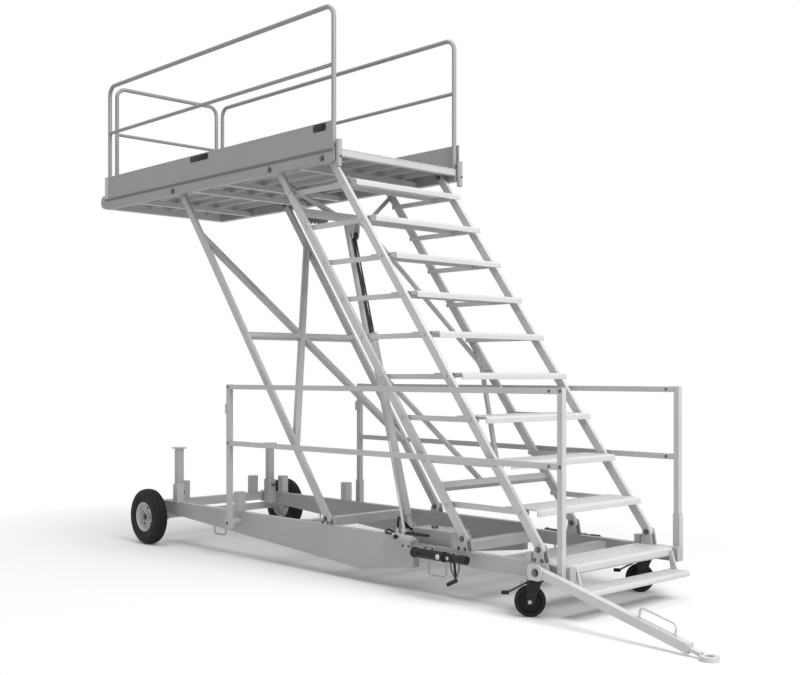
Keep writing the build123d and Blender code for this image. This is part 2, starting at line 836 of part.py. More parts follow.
# Rear wheels: tyre and dished rim
for name, side in (("right", -1), ("left", 1)):
    hub = Plane(origin=(axle_x, side * wheel_y, tyre_radius), x_dir=(1, 0, 0), z_dir=(0, side, 0))
    half = tyre_wide / 2
    with BuildPart() as tyre:
        with BuildSketch(Plane.XZ) as tyre_profile:
            with BuildLine():
                Polyline(
                    (rim_radius, -half + 10),
                    (rim_radius, half - 10),
                    (rim_radius + 22, half - 4),
                    (tyre_radius - 62, half),
                    (tyre_radius - 22, half - 8),
                    (tyre_radius - 6, half - 24),
                    (tyre_radius, 0),
                    (tyre_radius - 6, -half + 24),
                    (tyre_radius - 22, -half + 8),
                    (tyre_radius - 62, -half),
                    (rim_radius + 22, -half + 4),
                    close=True,
                )
            make_face()
        revolve(axis=Axis.Z)
    wheel_tyre = tyre.part.moved(hub.location)
    wheel_tyre.label = f"tyre_{name}"
    export_step(wheel_tyre, f"parts/tyre_{name}.step")
    with BuildPart() as rim:
        with BuildSketch(Plane.XZ):
            with BuildLine():
                Polyline(
                    (axle_radius + running_gap, -half + 20),
                    (42, -half + 20),
                    (42, 2),
                    (rim_radius - 26, -6),
                    (rim_radius - 12, -half + 16),
                    (rim_radius - 12, -half + 10),
                    (rim_radius, -half + 10),
                    (rim_radius, half - 10),
                    (rim_radius - 6, half - 10),
                    (rim_radius - 20, 6),
                    (46, 14),
                    (46, half - 22),
                    (axle_radius + running_gap, half - 22),
                    close=True,
                )
            make_face()
        revolve(axis=Axis.Z)
    wheel_rim = rim.part.moved(hub.location)
    wheel_rim.label = f"rim_{name}"
    export_step(wheel_rim, f"parts/rim_{name}.step")

# Castors: fixed plates, turning forks and wheels
castor_top = front_rail_z[0]
with BuildPart() as castor_plates:
    for side in SIDES:
        block(
            (castor_x - 70, castor_x + 70),
            (side * castor_y - 55, side * castor_y + 55),
            (castor_top - 8, castor_top),
        )
castor_plates.part.label = "castor_plates"
export_step(castor_plates.part, "parts/castor_plates.step")

for name, side in (("right", -1), ("left", 1)):
    swivel = Plane(origin=(castor_x, side * castor_y, 0)).rotated((0, 0, castor_turn))
    with BuildPart() as fork:
        with Locations((0, 0, castor_top - 8 - 0.3 - 18)):
            Cylinder(42, 18, align=LOW)
        block((-castor_trail - 22, 30), (-42, 42), (castor_top - 34, castor_top - 26))
        for leg_side in SIDES:
            with BuildSketch(Plane.XZ.offset(-leg_side * 34)):
                with BuildLine():
                    Polyline(
                        (30, castor_top - 26),
                        (-castor_trail - 22, castor_top - 26),
                        (-castor_trail - 22, castor_radius - 22),
                        (-castor_trail + 22, castor_radius - 22),
                        close=True,
                    )
                make_face()
            extrude(amount=leg_side * -8)
        rod((-castor_trail, -46, castor_radius), (-castor_trail, 46, castor_radius), castor_axle)
        pedal_x = -castor_trail - castor_radius
        pedal_z = castor_radius * 1.5
        bar((-castor_trail - 15, 0, castor_top - 30), (pedal_x - 45, 0, pedal_z), 36, 8)
        block((pedal_x - 80, pedal_x - 37), (-20, 20), (pedal_z - 6, pedal_z + 4))
    castor_fork = fork.part.moved(swivel.location)
    castor_fork.label = f"castor_fork_{name}"
    export_step(castor_fork, f"parts/castor_fork_{name}.step")
    with BuildPart() as roller:
        with BuildSketch(Plane.XZ):
            with BuildLine():
                Polyline(
                    (castor_axle + running_gap, -castor_wide / 2 - 4),
                    (26, -castor_wide / 2 - 4),
                    (30, -8),
                    (castor_radius - 34, -8),
                    (castor_radius - 26, -castor_wide / 2),
                    (castor_radius - 8, -castor_wide / 2),
                    (castor_radius, -castor_wide / 2 + 12),
                    (castor_radius, castor_wide / 2 - 12),
                    (castor_radius - 8, castor_wide / 2),
                    (castor_radius - 26, castor_wide / 2),
                    (castor_radius - 34, 8),
                    (30, 8),
                    (26, castor_wide / 2 + 4),
                    (castor_axle + running_gap, castor_wide / 2 + 4),
                    close=True,
                )
            make_face()
        revolve(axis=Axis.Z)
    upright = Plane(origin=(-castor_trail, 0, castor_radius), x_dir=(1, 0, 0), z_dir=(0, 1, 0))
    castor_wheel = roller.part.moved(swivel.location * upright.location)
    castor_wheel.label = f"castor_wheel_{name}"
    export_step(castor_wheel, f"parts/castor_wheel_{name}.step")

# Drop legs at the rear, raised in their sleeves
for name, side in (("right", -1), ("left", 1)):
    y = side * leg_jack_y
    half = leg_jack_side / 2
    with BuildPart() as drop_leg:
        block(
            (leg_jack_x - half, leg_jack_x + half),
            (y - half, y + half),
            (leg_jack_foot_z, leg_jack_top_z),
        )
        block((leg_jack_x - 58, leg_jack_x + 58), (y - 45, y + 45), (leg_jack_top_z, leg_jack_top_z + 10))
    drop_leg.part.label = f"drop_leg_{name}"
    export_step(drop_leg.part, f"parts/drop_leg_{name}.step")

# Swing jacks, stowed along the front rails, with their mounting plates
with BuildPart() as jack_mounts:
    for side in SIDES:
        block(
            (swing_jack_x - 45, swing_jack_x + 45),
            (side * beam_out, side * (beam_out + 12)),
            (front_rail_z[0], front_rail_z[1]),
        )
        rod(
            (swing_jack_x, side * beam_out, swing_jack_z),
            (swing_jack_x, side * (swing_jack_y - swing_jack_radius - 6), swing_jack_z),
            22,
        )
jack_mounts.part.label = "jack_mounts"
export_step(jack_mounts.part, "parts/jack_mounts.step")

for name, side in (("right", -1), ("left", 1)):
    y = side * swing_jack_y
    with BuildPart() as swing_jack:
        foot = swing_jack_x - 45
        tip = swing_jack_x + swing_jack_reach
        for start, end, radius in (
            (foot - 18, foot, swing_jack_radius + 4),
            (foot, tip - 200, swing_jack_radius),
            (tip - 200, tip - 70, swing_jack_radius - 8),
            (tip - 70, tip, swing_jack_radius - 3),
        ):
            rod((start, y, swing_jack_z), (end, y, swing_jack_z), radius)
        rod(
            (swing_jack_x, side * (swing_jack_y - swing_jack_radius - 5.7), swing_jack_z),
            (swing_jack_x, y, swing_jack_z),
            22,
        )
        bar((tip - 115, y, swing_jack_z - 20), (tip - 98, y, swing_jack_z - 150), 12, 12)
        rod((tip - 96, y, swing_jack_z - 145), (tip - 175, y, swing_jack_z - 182), 14)
    swing_jack.part.label = f"swing_jack_{name}"
    export_step(swing_jack.part, f"parts/swing_jack_{name}.step")

# Drawbar at the right front corner: hinge ears, square tube, handle loop and tow eye
heading = (cos(radians(draw_turn)), -sin(radians(draw_turn)))
eye_run = (eye_tip_x - eye_radius - draw_x) / heading[0]
draw_end = (draw_x + heading[0] * eye_run, draw_y + heading[1] * eye_run, eye_thick / 2)
across = (-heading[1], heading[0], 0)


def on_bar(along, aside=0.0, up=0.0):
    """Place on the drawbar, a share of the way from hinge to eye."""
    x = draw_x + heading[0] * eye_run * along + across[0] * aside
    y = draw_y + heading[1] * eye_run * along + across[1] * aside
    return x, y, draw_z + (draw_end[2] - draw_z) * along + up


ear_face = draw_side / 2 + 2
with BuildPart() as drawbar_ears:
    for aside in (ear_face, -ear_face - ear_thick):
        with BuildSketch(Plane(origin=on_bar(0, aside), x_dir=(*heading, 0), z_dir=across)) as ear_plate:
            with Locations((-10, 0)):
                RectangleRounded(ear_long, ear_tall, 36)
        extrude(ear_plate.sketch, amount=ear_thick)
    block(
        (draw_x - 64, draw_x - 36),
        (-beam_out, draw_y - ear_face - ear_thick / 2),
        (draw_z - 40, draw_z + 36),
    )
    rod(on_bar(0, -ear_face - ear_thick - 4), on_bar(0, ear_face + ear_thick), 9)
drawbar_ears.part.label = "drawbar_ears"
export_step(drawbar_ears.part, "parts/drawbar_ears.step")

with BuildPart() as drawbar:
    bar(on_bar(0.0), on_bar(0.9), draw_side, draw_side, across)
    rod(on_bar(0, -draw_side / 2), on_bar(0, draw_side / 2), draw_side / 2)
    rod(on_bar(0, -draw_side), on_bar(0, draw_side), 9 + running_gap, Mode.SUBTRACT)
    bar(on_bar(0.88), on_bar(0.96), 40, 20, across)
    bent_tube(
        (on_bar(0.62, 0, 20), on_bar(0.63, 0, 95), on_bar(0.83, 0, 95), on_bar(0.82, 0, 20)),
        30,
        7,
    )
    with Locations((draw_end[0], draw_end[1], 0)):
        Cylinder(eye_radius, eye_thick, align=LOW)
        Cylinder(eye_bore, eye_thick, align=LOW, mode=Mode.SUBTRACT)
drawbar.part.label = "drawbar"
export_step(drawbar.part, "parts/drawbar.step")
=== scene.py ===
import json
import math

import bmesh
import bpy
from mathutils import Matrix, Vector


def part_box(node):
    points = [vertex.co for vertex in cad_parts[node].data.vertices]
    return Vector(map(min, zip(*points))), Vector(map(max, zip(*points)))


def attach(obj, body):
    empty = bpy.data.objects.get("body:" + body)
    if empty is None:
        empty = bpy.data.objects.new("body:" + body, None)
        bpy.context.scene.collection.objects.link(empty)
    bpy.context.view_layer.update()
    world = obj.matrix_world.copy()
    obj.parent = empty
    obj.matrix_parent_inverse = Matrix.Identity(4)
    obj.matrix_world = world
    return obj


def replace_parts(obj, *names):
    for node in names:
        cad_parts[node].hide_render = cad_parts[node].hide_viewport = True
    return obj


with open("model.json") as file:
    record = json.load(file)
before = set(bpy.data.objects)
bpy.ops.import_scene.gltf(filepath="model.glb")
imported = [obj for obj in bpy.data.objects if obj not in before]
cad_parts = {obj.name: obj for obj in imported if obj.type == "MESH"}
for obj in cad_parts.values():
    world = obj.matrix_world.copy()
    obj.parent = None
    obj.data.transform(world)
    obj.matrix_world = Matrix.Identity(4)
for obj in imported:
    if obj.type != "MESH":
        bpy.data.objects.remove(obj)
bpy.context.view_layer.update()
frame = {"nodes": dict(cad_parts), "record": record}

nodes = frame["nodes"]
scene = bpy.context.scene
scene.view_settings.view_transform = "Standard"


# Material helpers

BUMP_DEPTH = 0.001
EDGE_RADIUS = 0.004
DUST_HEIGHT = 0.7
DULL = 0.25
BARE_STEEL = (0.30, 0.29, 0.28, 1.0)
DRY_DUST = (0.33, 0.32, 0.30, 1.0)
PAINT_SMOOTHER = 0.07
PAINT_ROUGHER = 0.08
PEEL_STRENGTH = 0.06
RUBBER_DARKER = 0.7
RUBBER_PALER = 1.7
RUBBER_ROUGHER = 0.15
RUBBER_GRAIN = 0.15
METAL_DARKER = 0.8
METAL_PALER = 1.1
METAL_SMOOTHER = 0.8
METAL_ROUGHER = 1.3


def grey(tone):
    return (tone, tone, tone, 1.0)


def new_material(name):
    mat = bpy.data.materials.new(name)
    mat.use_nodes = True
    tree = mat.node_tree
    return mat, tree, tree.nodes["Principled BSDF"]


def add(tree, kind, **values):
    """New node with its settings; a name that starts with in_ is the value of an input."""
    node = tree.nodes.new(kind)
    for key, value in values.items():
        if key.startswith("in_"):
            node.inputs[key[3:].replace("_", " ")].default_value = value
        else:
            setattr(node, key, value)
    return node


def feed(tree, value, socket):
    """Link a socket to an output, or give it a plain value."""
    if hasattr(value, "is_linked"):
        tree.links.new(value, socket)
    else:
        socket.default_value = value


def noise(tree, place, scale, detail, roughness=0.5):
    node = add(tree, "ShaderNodeTexNoise", in_Scale=scale, in_Detail=detail, in_Roughness=roughness)
    tree.links.new(place.outputs["Position"], node.inputs["Vector"])
    return node.outputs["Fac"]


def ramp(tree, source, start, end):
    """Grey ramp between two stops, each a position and a tone."""
    node = tree.nodes.new("ShaderNodeValToRGB")
    tree.links.new(source, node.inputs[0])
    for element, (position, tone) in zip(node.color_ramp.elements, (start, end)):
        element.position = position
        element.color = grey(tone)
    return node.outputs["Color"]


def times(tree, a, b):
    node = add(tree, "ShaderNodeMath", operation="MULTIPLY")
    feed(tree, a, node.inputs[0])
    feed(tree, b, node.inputs[1])
    return node.outputs[0]


def mix(tree, factor, a, b, mode="MIX"):
    node = add(tree, "ShaderNodeMix", data_type="RGBA", blend_type=mode)
    for name, value in (("Factor", factor), ("A", a), ("B", b)):
        feed(tree, value, [s for s in node.inputs if s.name == name and s.enabled][0])
    return [s for s in node.outputs if s.enabled][0]


def grain(tree, shader, height, strength):
    """Fine bump on a shader; returns its node."""
    bump = add(tree, "ShaderNodeBump", in_Strength=strength, in_Distance=BUMP_DEPTH)
    tree.links.new(height, bump.inputs["Height"])
    tree.links.new(bump.outputs["Normal"], shader.inputs["Normal"])
    return bump


def paint(name, tone, spread, rough, wear, grime, shine=0.5):
    """Painted steel: cloudy tone, softened and worn edges, dust low down, orange-peel bump."""
    mat, tree, shader = new_material(name)
    shader.inputs["Specular IOR Level"].default_value = shine
    place = add(tree, "ShaderNodeNewGeometry")
    cloud = noise(tree, place, scale=2.2, detail=6.0, roughness=0.6)
    fresh = ramp(tree, cloud, (0.3, tone - spread), (0.7, tone + spread))

    edge = add(tree, "ShaderNodeBevel", samples=4, in_Radius=EDGE_RADIUS)
    flatness = add(tree, "ShaderNodeVectorMath", operation="DOT_PRODUCT")
    tree.links.new(edge.outputs["Normal"], flatness.inputs[0])
    tree.links.new(place.outputs["Normal"], flatness.inputs[1])
    sharp = ramp(tree, flatness.outputs["Value"], (0.80, 1.0), (0.985, 0.0))
    flecks = noise(tree, place, scale=26.0, detail=4.0, roughness=0.7)
    chips = ramp(tree, flecks, (0.52, 0.0), (0.62, 1.0))
    worn = times(tree, mix(tree, 1.0, sharp, chips, "MULTIPLY"), wear)
    used = mix(tree, worn, fresh, BARE_STEEL)

    split = add(tree, "ShaderNodeSeparateXYZ")
    tree.links.new(place.outputs["Position"], split.inputs[0])
    low = add(tree, "ShaderNodeMapRange", in_From_Max=DUST_HEIGHT, in_To_Min=1.0, in_To_Max=0.0)
    tree.links.new(split.outputs["Z"], low.inputs["Value"])
    patches = noise(tree, place, scale=7.0, detail=5.0, roughness=0.65)
    clumps = ramp(tree, patches, (0.42, 0.0), (0.7, 1.0))
    dusty = times(tree, times(tree, low.outputs["Result"], clumps), grime)
    feed(tree, mix(tree, dusty, used, DRY_DUST), shader.inputs["Base Color"])

    gloss = ramp(tree, cloud, (0.25, rough - PAINT_SMOOTHER), (0.75, rough + PAINT_ROUGHER))
    feed(tree, gloss, shader.inputs["Roughness"])
    peel = grain(tree, shader, noise(tree, place, scale=260.0, detail=2.0), PEEL_STRENGTH)
    tree.links.new(edge.outputs["Normal"], peel.inputs["Normal"])
    return mat


def rubber(name, tone, rough, scale):
    """Dull rubber with cloudy tone and a fine grain."""
    mat, tree, shader = new_material(name)
    shader.inputs["Specular IOR Level"].default_value = DULL
    place = add(tree, "ShaderNodeNewGeometry")
    cloud = noise(tree, place, scale, detail=6.0, roughness=0.7)
    colour = ramp(tree, cloud, (0.3, tone * RUBBER_DARKER), (0.75, tone * RUBBER_PALER))
    feed(tree, colour, shader.inputs["Base Color"])
    gloss = ramp(tree, cloud, (0.3, rough), (0.7, rough + RUBBER_ROUGHER))
    feed(tree, gloss, shader.inputs["Roughness"])
    grain(tree, shader, noise(tree, place, scale=420.0, detail=3.0), RUBBER_GRAIN)
    return mat


def metal(name, tone, rough):
    """Bare metal with cloudy tone and gloss."""
    mat, tree, shader = new_material(name)
    shader.inputs["Metallic"].default_value = 1.0
    place = add(tree, "ShaderNodeNewGeometry")
    cloud = noise(tree, place, scale=30.0, detail=5.0)
    colour = ramp(tree, cloud, (0.3, tone * METAL_DARKER), (0.7, tone * METAL_PALER))
    feed(tree, colour, shader.inputs["Base Color"])
    gloss = ramp(tree, cloud, (0.3, rough * METAL_SMOOTHER), (0.7, rough * METAL_ROUGHER))
    feed(tree, gloss, shader.inputs["Roughness"])
    return mat


# Materials: one grey paint, with lighter and darker copies of it that paint light and shade

grey_paint = paint("grey_paint", tone=0.47, spread=0.02, rough=0.42, wear=0.14, grime=0.25)
# A lighter copy of the grey paint: painted light, for the parts that catch more light
lit_pale_paint = paint("lit_pale_paint", tone=0.54, spread=0.02, rough=0.40, wear=0.14, grime=0.22)
deck_paint = paint("deck_paint", tone=0.42, spread=0.03, rough=0.50, wear=0.50, grime=0.30)
# Darker copies of the grey paint: painted shade for the guards, toeboards, platform beams and side beams,
# which stand in half shade
shaded_guard_paint = paint("shaded_guard_paint", tone=0.27, spread=0.015, rough=0.40, wear=0.05, grime=0.10)
shaded_toe_paint = paint("shaded_toe_paint", tone=0.31, spread=0.02, rough=0.45, wear=0.50, grime=0.10)
shaded_beam_paint = paint("shaded_beam_paint", tone=0.38, spread=0.02, rough=0.42, wear=0.18, grime=0.25)
# Near-black paint for the strip that paints the shadow in the deck's seam line
seam_shadow_paint = paint("seam_shadow_paint", tone=0.14, spread=0.01, rough=0.60, wear=0.10, grime=0.0)
black_paint = paint("black_paint", tone=0.011, spread=0.003, rough=0.38, wear=0.25, grime=0.05,
                    shine=DULL)
plate_paint = paint("plate_paint", tone=0.014, spread=0.003, rough=0.50, wear=0.10, grime=0.0,
                    shine=DULL)
bumper_skin = paint("bumper_skin", tone=0.42, spread=0.03, rough=0.60, wear=0.10, grime=0.0, shine=0.3)
tyre_rubber = rubber("tyre_rubber", tone=0.010, rough=0.62, scale=14.0)
castor_rubber = rubber("castor_rubber", tone=0.010, rough=0.55, scale=20.0)
hose_rubber = rubber("hose_rubber", tone=0.009, rough=0.45, scale=40.0)
chrome = metal("chrome", tone=0.055, rough=0.18)
zinc = metal("zinc", tone=0.50, rough=0.34)
dark_steel = metal("dark_steel", tone=0.16, rough=0.42)

finish_of = {"grey_paint": grey_paint, "black_paint": black_paint, "tyre": tyre_rubber,
             "castor_rubber": castor_rubber, "rod_chrome": chrome, "bumper": bumper_skin,
             "hose": hose_rubber}
# Parts that get the lighter copy of the grey paint, as painted light
LIT_PALE_PARTS = ("tread_", "front_stringers", "rear_stringers", "fixed_step", "lower_step", "pump_lever",
        "drawbar", "rim_")
# Per part: the deck's own worn paint, and the darker copies of the grey paint as painted shade
own_finish_and_shade = {"deck_planks": deck_paint, "toeboards": shaded_toe_paint, "platform_guards": shaded_guard_paint,
              "platform_mid_rails": shaded_guard_paint, "end_guard": shaded_guard_paint, "platform_beams": shaded_toe_paint,
              "side_beams": shaded_beam_paint, "front_rails": shaded_beam_paint}
for entry in frame["record"]["subparts"]:
    node_name = entry["node"]
    finish = finish_of[entry["material_slot"]]
    if node_name.startswith(LIT_PALE_PARTS):
        finish = lit_pale_paint
    slots = nodes[node_name].data.materials
    slots.clear()
    slots.append(own_finish_and_shade.get(node_name, finish))


# Places of the CAD, in metres

BOTH = (-1, 1)
SIDE_NAMES = (("right", -1), ("left", 1))
UP = Vector((0, 0, 1))
DOWN = Vector((0, 0, -1))
FORWARD = Vector((1, 0, 0))
RIGHT = Vector((0, -1, 0))
LEFT = Vector((0, 1, 0))

LINK_SLOPE = math.radians(53.13)
RUN = Vector((-math.cos(LINK_SLOPE), 0.0, math.sin(LINK_SLOPE)))
OFF = Vector((-math.sin(LINK_SLOPE), 0.0, -math.cos(LINK_SLOPE)))
LINK = 3.444
LINK_IN = 0.5775
LINK_OUT = 0.6075
FOOT_Z = 0.430
FRONT_FOOT = 2.075
REAR_FOOT = 1.412
LEG_FOOT = -0.030
TREADS = 9
FIRST_TREAD = 0.078
LAST_TREAD = 0.929
TREAD_SHARE = (LAST_TREAD - FIRST_TREAD) / (TREADS - 1)
PINS = [LINK * (FIRST_TREAD + TREAD_SHARE * n) for n in range(TREADS)]
UPPER_BEAM = 0.874 * LINK
LOWER_BEAM = 0.122 * LINK

BEAM_IN = 0.5625
BEAM_OUT = 0.6225
BEAM_TOP = 0.385
RAIL_TOP = 0.345
LOWER_STEP_TOP = 0.205
GUARD_REAR_X = -1.160
GUARD_REAR_Y = 0.723
GUARD_FRONT_X = 2.280
GUARD_FRONT_Y = 0.6425
GUARD_ZS = (0.966, 1.435)

DECK_Z = 3.25
PLATFORM_OUT = 0.688
PLATFORM_REAR = -3.319
AXLE_X = -2.360
WHEEL_Y = 0.775
TYRE_R = 0.250
CASTOR_X = 2.050
CASTOR_Y = 0.600
CASTOR_TURN = math.radians(38.0)
JACK_X = 1.110
JACK_Y = 0.720
JACK_Z = 0.310
CYLINDER_FOOT = Vector((0.249, 0, 0.340))


def on_link(foot, along, below=0.0, y=0.0):
    """Place along a link from its foot pin; below is square to the link, on its under side."""
    return Vector((foot, y, FOOT_Z)) + RUN * along + OFF * below


# Mesh helpers

CORNERS = ((-1, -1), (1, -1), (1, 1), (-1, 1))
BEVEL_STEPS = 2
STRUT_BEVEL = 0.004
HEXAGON = 6
SMALL_RING = 18
WIDE_RING = 36

# Washer, head and chamfer of a bolt: start, radius, height, sides and top radius, in widths across flats
BOLT = ((0.0, 0.78, 0.12, 18, 0.78), (0.12, 0.577, 0.34, 6, 0.577), (0.46, 0.55, 0.07, 12, 0.42))

# Weld beads
BEAD_RADIUS = 0.0035
BEAD_PITCH = 0.009
BEAD_RIPPLE = 0.16
BEAD_SIDES = 6
BEAD_GAP = 0.001


def facing(at, axis):
    """Matrix at a place, with its Z along an axis."""
    return Matrix.Translation(Vector(at)) @ Vector(axis).to_track_quat("Z", "Y").to_matrix().to_4x4()


def circle(count):
    """Cosine and sine at each step of a full turn."""
    angles = [2 * math.pi * k / count for k in range(count)]
    return [(math.cos(a), math.sin(a)) for a in angles]


def skin(bm, rows, closed):
    """Faces between closed rows of points; an open run of rows gets end caps."""
    count = len(rows)
    for k in range(count if closed else count - 1):
        a, b = rows[k], rows[(k + 1) % count]
        for i in range(len(a)):
            j = (i + 1) % len(a)
            bm.faces.new((a[i], b[i], b[j], a[j]))
    if not closed:
        bm.faces.new(rows[0])
        bm.faces.new(rows[-1])


def disc(bm, at, axis, radius, high, sides, top=None):
    place = facing(at, axis) @ Matrix.Translation((0, 0, high / 2))
    bmesh.ops.create_cone(bm, cap_ends=True, segments=sides, radius1=radius,
                          radius2=radius if top is None else top, depth=high, matrix=place)


def stack(bm, at, axis, rows):
    """Discs along an axis; a row is start, radius, height, sides and, where it tapers, top radius."""
    for start, *shape in rows:
        disc(bm, Vector(at) + Vector(axis) * start, axis, *shape)


def bolt(bm, at, axis, flats):
    for start, radius, high, sides, top in BOLT:
        place = Vector(at) + Vector(axis).normalized() * flats * start
        disc(bm, place, axis, flats * radius, flats * high, sides, flats * top)


def block(bm, at, size, bevel, turn=Matrix.Identity(3)):
    """Box with rounded edges."""
    place = Matrix.Translation(Vector(at)) @ turn.to_4x4() @ Matrix.Diagonal((*size, 1.0))
    made = bmesh.ops.create_cube(bm, size=1.0, matrix=place)
    edges = list(dict.fromkeys(e for v in made["verts"] for e in v.link_edges))
    bmesh.ops.bevel(bm, geom=edges, offset=bevel, segments=BEVEL_STEPS, affect="EDGES", profile=0.5)


def ring(bm, at, axis, big, small, count=28, around=8):
    place = facing(at, axis)
    rows = []
    for c, s in circle(count):
        radii = [(big + small * a, small * b) for a, b in circle(around)]
        rows.append([bm.verts.new(place @ Vector((r * c, r * s, h))) for r, h in radii])
    skin(bm, rows, True)


def tube(bm, points, radius, around, closed=False, ripple=0.0):
    """Round bar along points; with a ripple it is a weld bead."""
    points = [Vector(p) for p in points]
    count = len(points)
    rows = []
    side = None
    for i, p in enumerate(points):
        before = points[i - 1] if i or closed else p
        after = points[(i + 1) % count] if i < count - 1 or closed else p
        run = (after - before).normalized()
        if side is None:
            side = run.orthogonal().normalized()
        side = (side - run * side.dot(run)).normalized()
        other = run.cross(side)
        r = radius * (1 + (ripple if i % 2 else -ripple))
        rows.append([bm.verts.new(p + side * r * c + other * r * s) for c, s in circle(around)])
    skin(bm, rows, closed)


def bead_loop(bm, at, along, across, half_along, half_across):
    """Weld bead round a rectangular foot."""
    reach_along = Vector(along) * (half_along + BEAD_GAP)
    reach_across = Vector(across) * (half_across + BEAD_GAP)
    corners = [Vector(at) + reach_along * a + reach_across * c for a, c in CORNERS]
    points = []
    for i, start in enumerate(corners):
        end = corners[(i + 1) % len(corners)]
        steps = max(2, int((end - start).length / BEAD_PITCH))
        points += [start.lerp(end, k / steps) for k in range(steps)]
    if len(points) % 2:
        points.append(points[-1].lerp(points[0], 0.5))
    tube(bm, points, BEAD_RADIUS, BEAD_SIDES, True, BEAD_RIPPLE)


def lathe(bm, rows, place, closed):
    """Body round the place's Z; a row holds a radius and a height for each step of the turn."""
    verts = []
    for row in rows:
        turns = zip(circle(len(row)), row)
        verts.append([bm.verts.new(place @ Vector((r * c, r * s, h))) for (c, s), (r, h) in turns])
    skin(bm, verts, closed)


def mitre(start, end, wide):
    """Half the length along a link that a slanting tube's cut end takes up."""
    return wide / 2 * math.dist(start, end) / abs(end[1] - start[1])


def strut(bm, foot, start, end, wide, deep):
    """Square tube between a pair of links, from (along, y) to (along, y), with mitred ends."""
    half = mitre(start, end, wide)
    rows = [[bm.verts.new(on_link(foot, along + a * half, c * deep / 2, y)) for a, c in CORNERS]
            for along, y in (start, end)]
    skin(bm, rows, False)
    edges = [bm.edges.get(pair) for pair in zip(*rows)]
    bmesh.ops.bevel(bm, geom=edges, offset=STRUT_BEVEL, segments=BEVEL_STEPS, affect="EDGES", profile=0.5)


def piece(name, bm, body, mat, flat_angle=38.0):
    """Object from a mesh, riding a body; edges sharper than the angle stay sharp."""
    bmesh.ops.recalc_face_normals(bm, faces=bm.faces)
    mesh = bpy.data.meshes.new(name)
    bm.to_mesh(mesh)
    bm.free()
    mesh.polygons.foreach_set("use_smooth", [True] * len(mesh.polygons))
    mesh.set_sharp_from_angle(angle=math.radians(flat_angle))
    mesh.materials.append(mat)
    obj = bpy.data.objects.new(name, mesh)
    scene.collection.objects.link(obj)
    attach(obj, body)
    return obj


# Hoses from the pump, on the CAD's routes

HOSE_DIAMETER = 0.018
PRESSURE_ROUTE = ((0.800, -0.652, 0.398), (0.670, -0.652, 0.398), (0.500, -0.4625, 0.398),
                  (0.339, -0.220, 0.310), (0.279, -0.130, 0.310), (0.279, -0.036, 0.310))
RETURN_ROUTE = ((0.814, -0.652, 0.400), (0.814, -0.652, 0.515), (0.740, -0.5625, 0.515),
                (0.740, -0.450, 0.400), (0.821, -0.450, 0.400))


def hose(name, route):
    data = bpy.data.curves.new(name, "CURVE")
    data.dimensions = "3D"
    data.bevel_depth = HOSE_DIAMETER / 2
    data.bevel_resolution = 4
    data.resolution_u = 12
    data.use_fill_caps = True
    spline = data.splines.new("NURBS")
    spline.points.add(len(route) - 1)
    for point, at in zip(spline.points, route):
        point.co = (*at, 1.0)
    spline.order_u = 3
    spline.use_endpoint_u = True
    data.materials.append(hose_rubber)
    obj = bpy.data.objects.new(name, data)
    scene.collection.objects.link(obj)
    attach(obj, "chassis")
    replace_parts(obj, "pump_hoses")


hose("pressure_hose", PRESSURE_ROUTE)
hose("return_hose", RETURN_ROUTE)


# Rear wheels: tyre with tread and sidewall rings, nuts, valve and hub

# Sidewall from the bead to the shoulder: radius and half width
SIDEWALL = ((0.132, 0.052), (0.146, 0.054), (0.152, 0.0585), (0.157, 0.0585), (0.160, 0.0570),
            (0.176, 0.0605), (0.188, 0.0618), (0.200, 0.0608), (0.204, 0.0592), (0.209, 0.0592),
            (0.213, 0.0580), (0.225, 0.0545), (0.234, 0.0500), (0.2405, 0.0440), (0.2440, 0.0380))
TYRE_STEPS = 216
SHOULDER_R, TREAD_HALF = SIDEWALL[-1]
CROWN_RISE = 0.0060
TREAD_ROWS = 20
TREAD_PITCH = 0.004
INNER_GROOVE = 0.0125
OUTER_GROOVE = 0.0285
GROOVE_HALF = 0.0023
GROOVE_DEPTH = 0.0055
ZIGZAG = 0.0016
ZIGZAG_STEPS = 6
SIPE_STEPS = 12
SIPE_SHIFT_OUTER = 3
SIPE_SHIFT_INNER = 9
SIPE_DEPTH = 0.004
TYRE_SMOOTH = 30.0

NUTS = 5
NUT_TURN = 0.3
NUT_CIRCLE = 0.078
NUT_SEAT = 0.0095
NUT_HEAD = 0.019
HUB_FACE = 0.0400
HUB_RING_R = 0.036
HUB_RING_THICK = 0.0025
TYRE_VALVE_X = 0.104
TYRE_VALVE = ((0.006, 0.0045, 0.030, 12), (0.036, 0.0055, 0.010, 12))
HUB_NUT = ((0.030, 0.0185, 0.0110, 24), (0.0408, 0.032, 0.003, 28), (0.0438, 0.019, 0.0120, 6),
           (0.0558, 0.0165, 0.003, 16, 0.0135))


def tread_radius(step, h):
    """Radius of the tread at a step round the tyre and a height h from its middle."""
    crown = SHOULDER_R + CROWN_RISE * (1 - (h / TREAD_HALF) ** 2)
    zigzag = ZIGZAG if (step // ZIGZAG_STEPS) % 2 else -ZIGZAG
    inner = abs(abs(h) - INNER_GROOVE + zigzag)
    outer = abs(abs(h) - OUTER_GROOVE - zigzag)
    if min(inner, outer) < GROOVE_HALF:
        return crown - GROOVE_DEPTH
    if abs(h) > OUTER_GROOVE:
        sipe = step % SIPE_STEPS in (0, 1)
    else:
        shift = SIPE_SHIFT_OUTER if h > 0 else SIPE_SHIFT_INNER
        sipe = (step + shift) % SIPE_STEPS == 0
    return crown - SIPE_DEPTH if sipe else crown


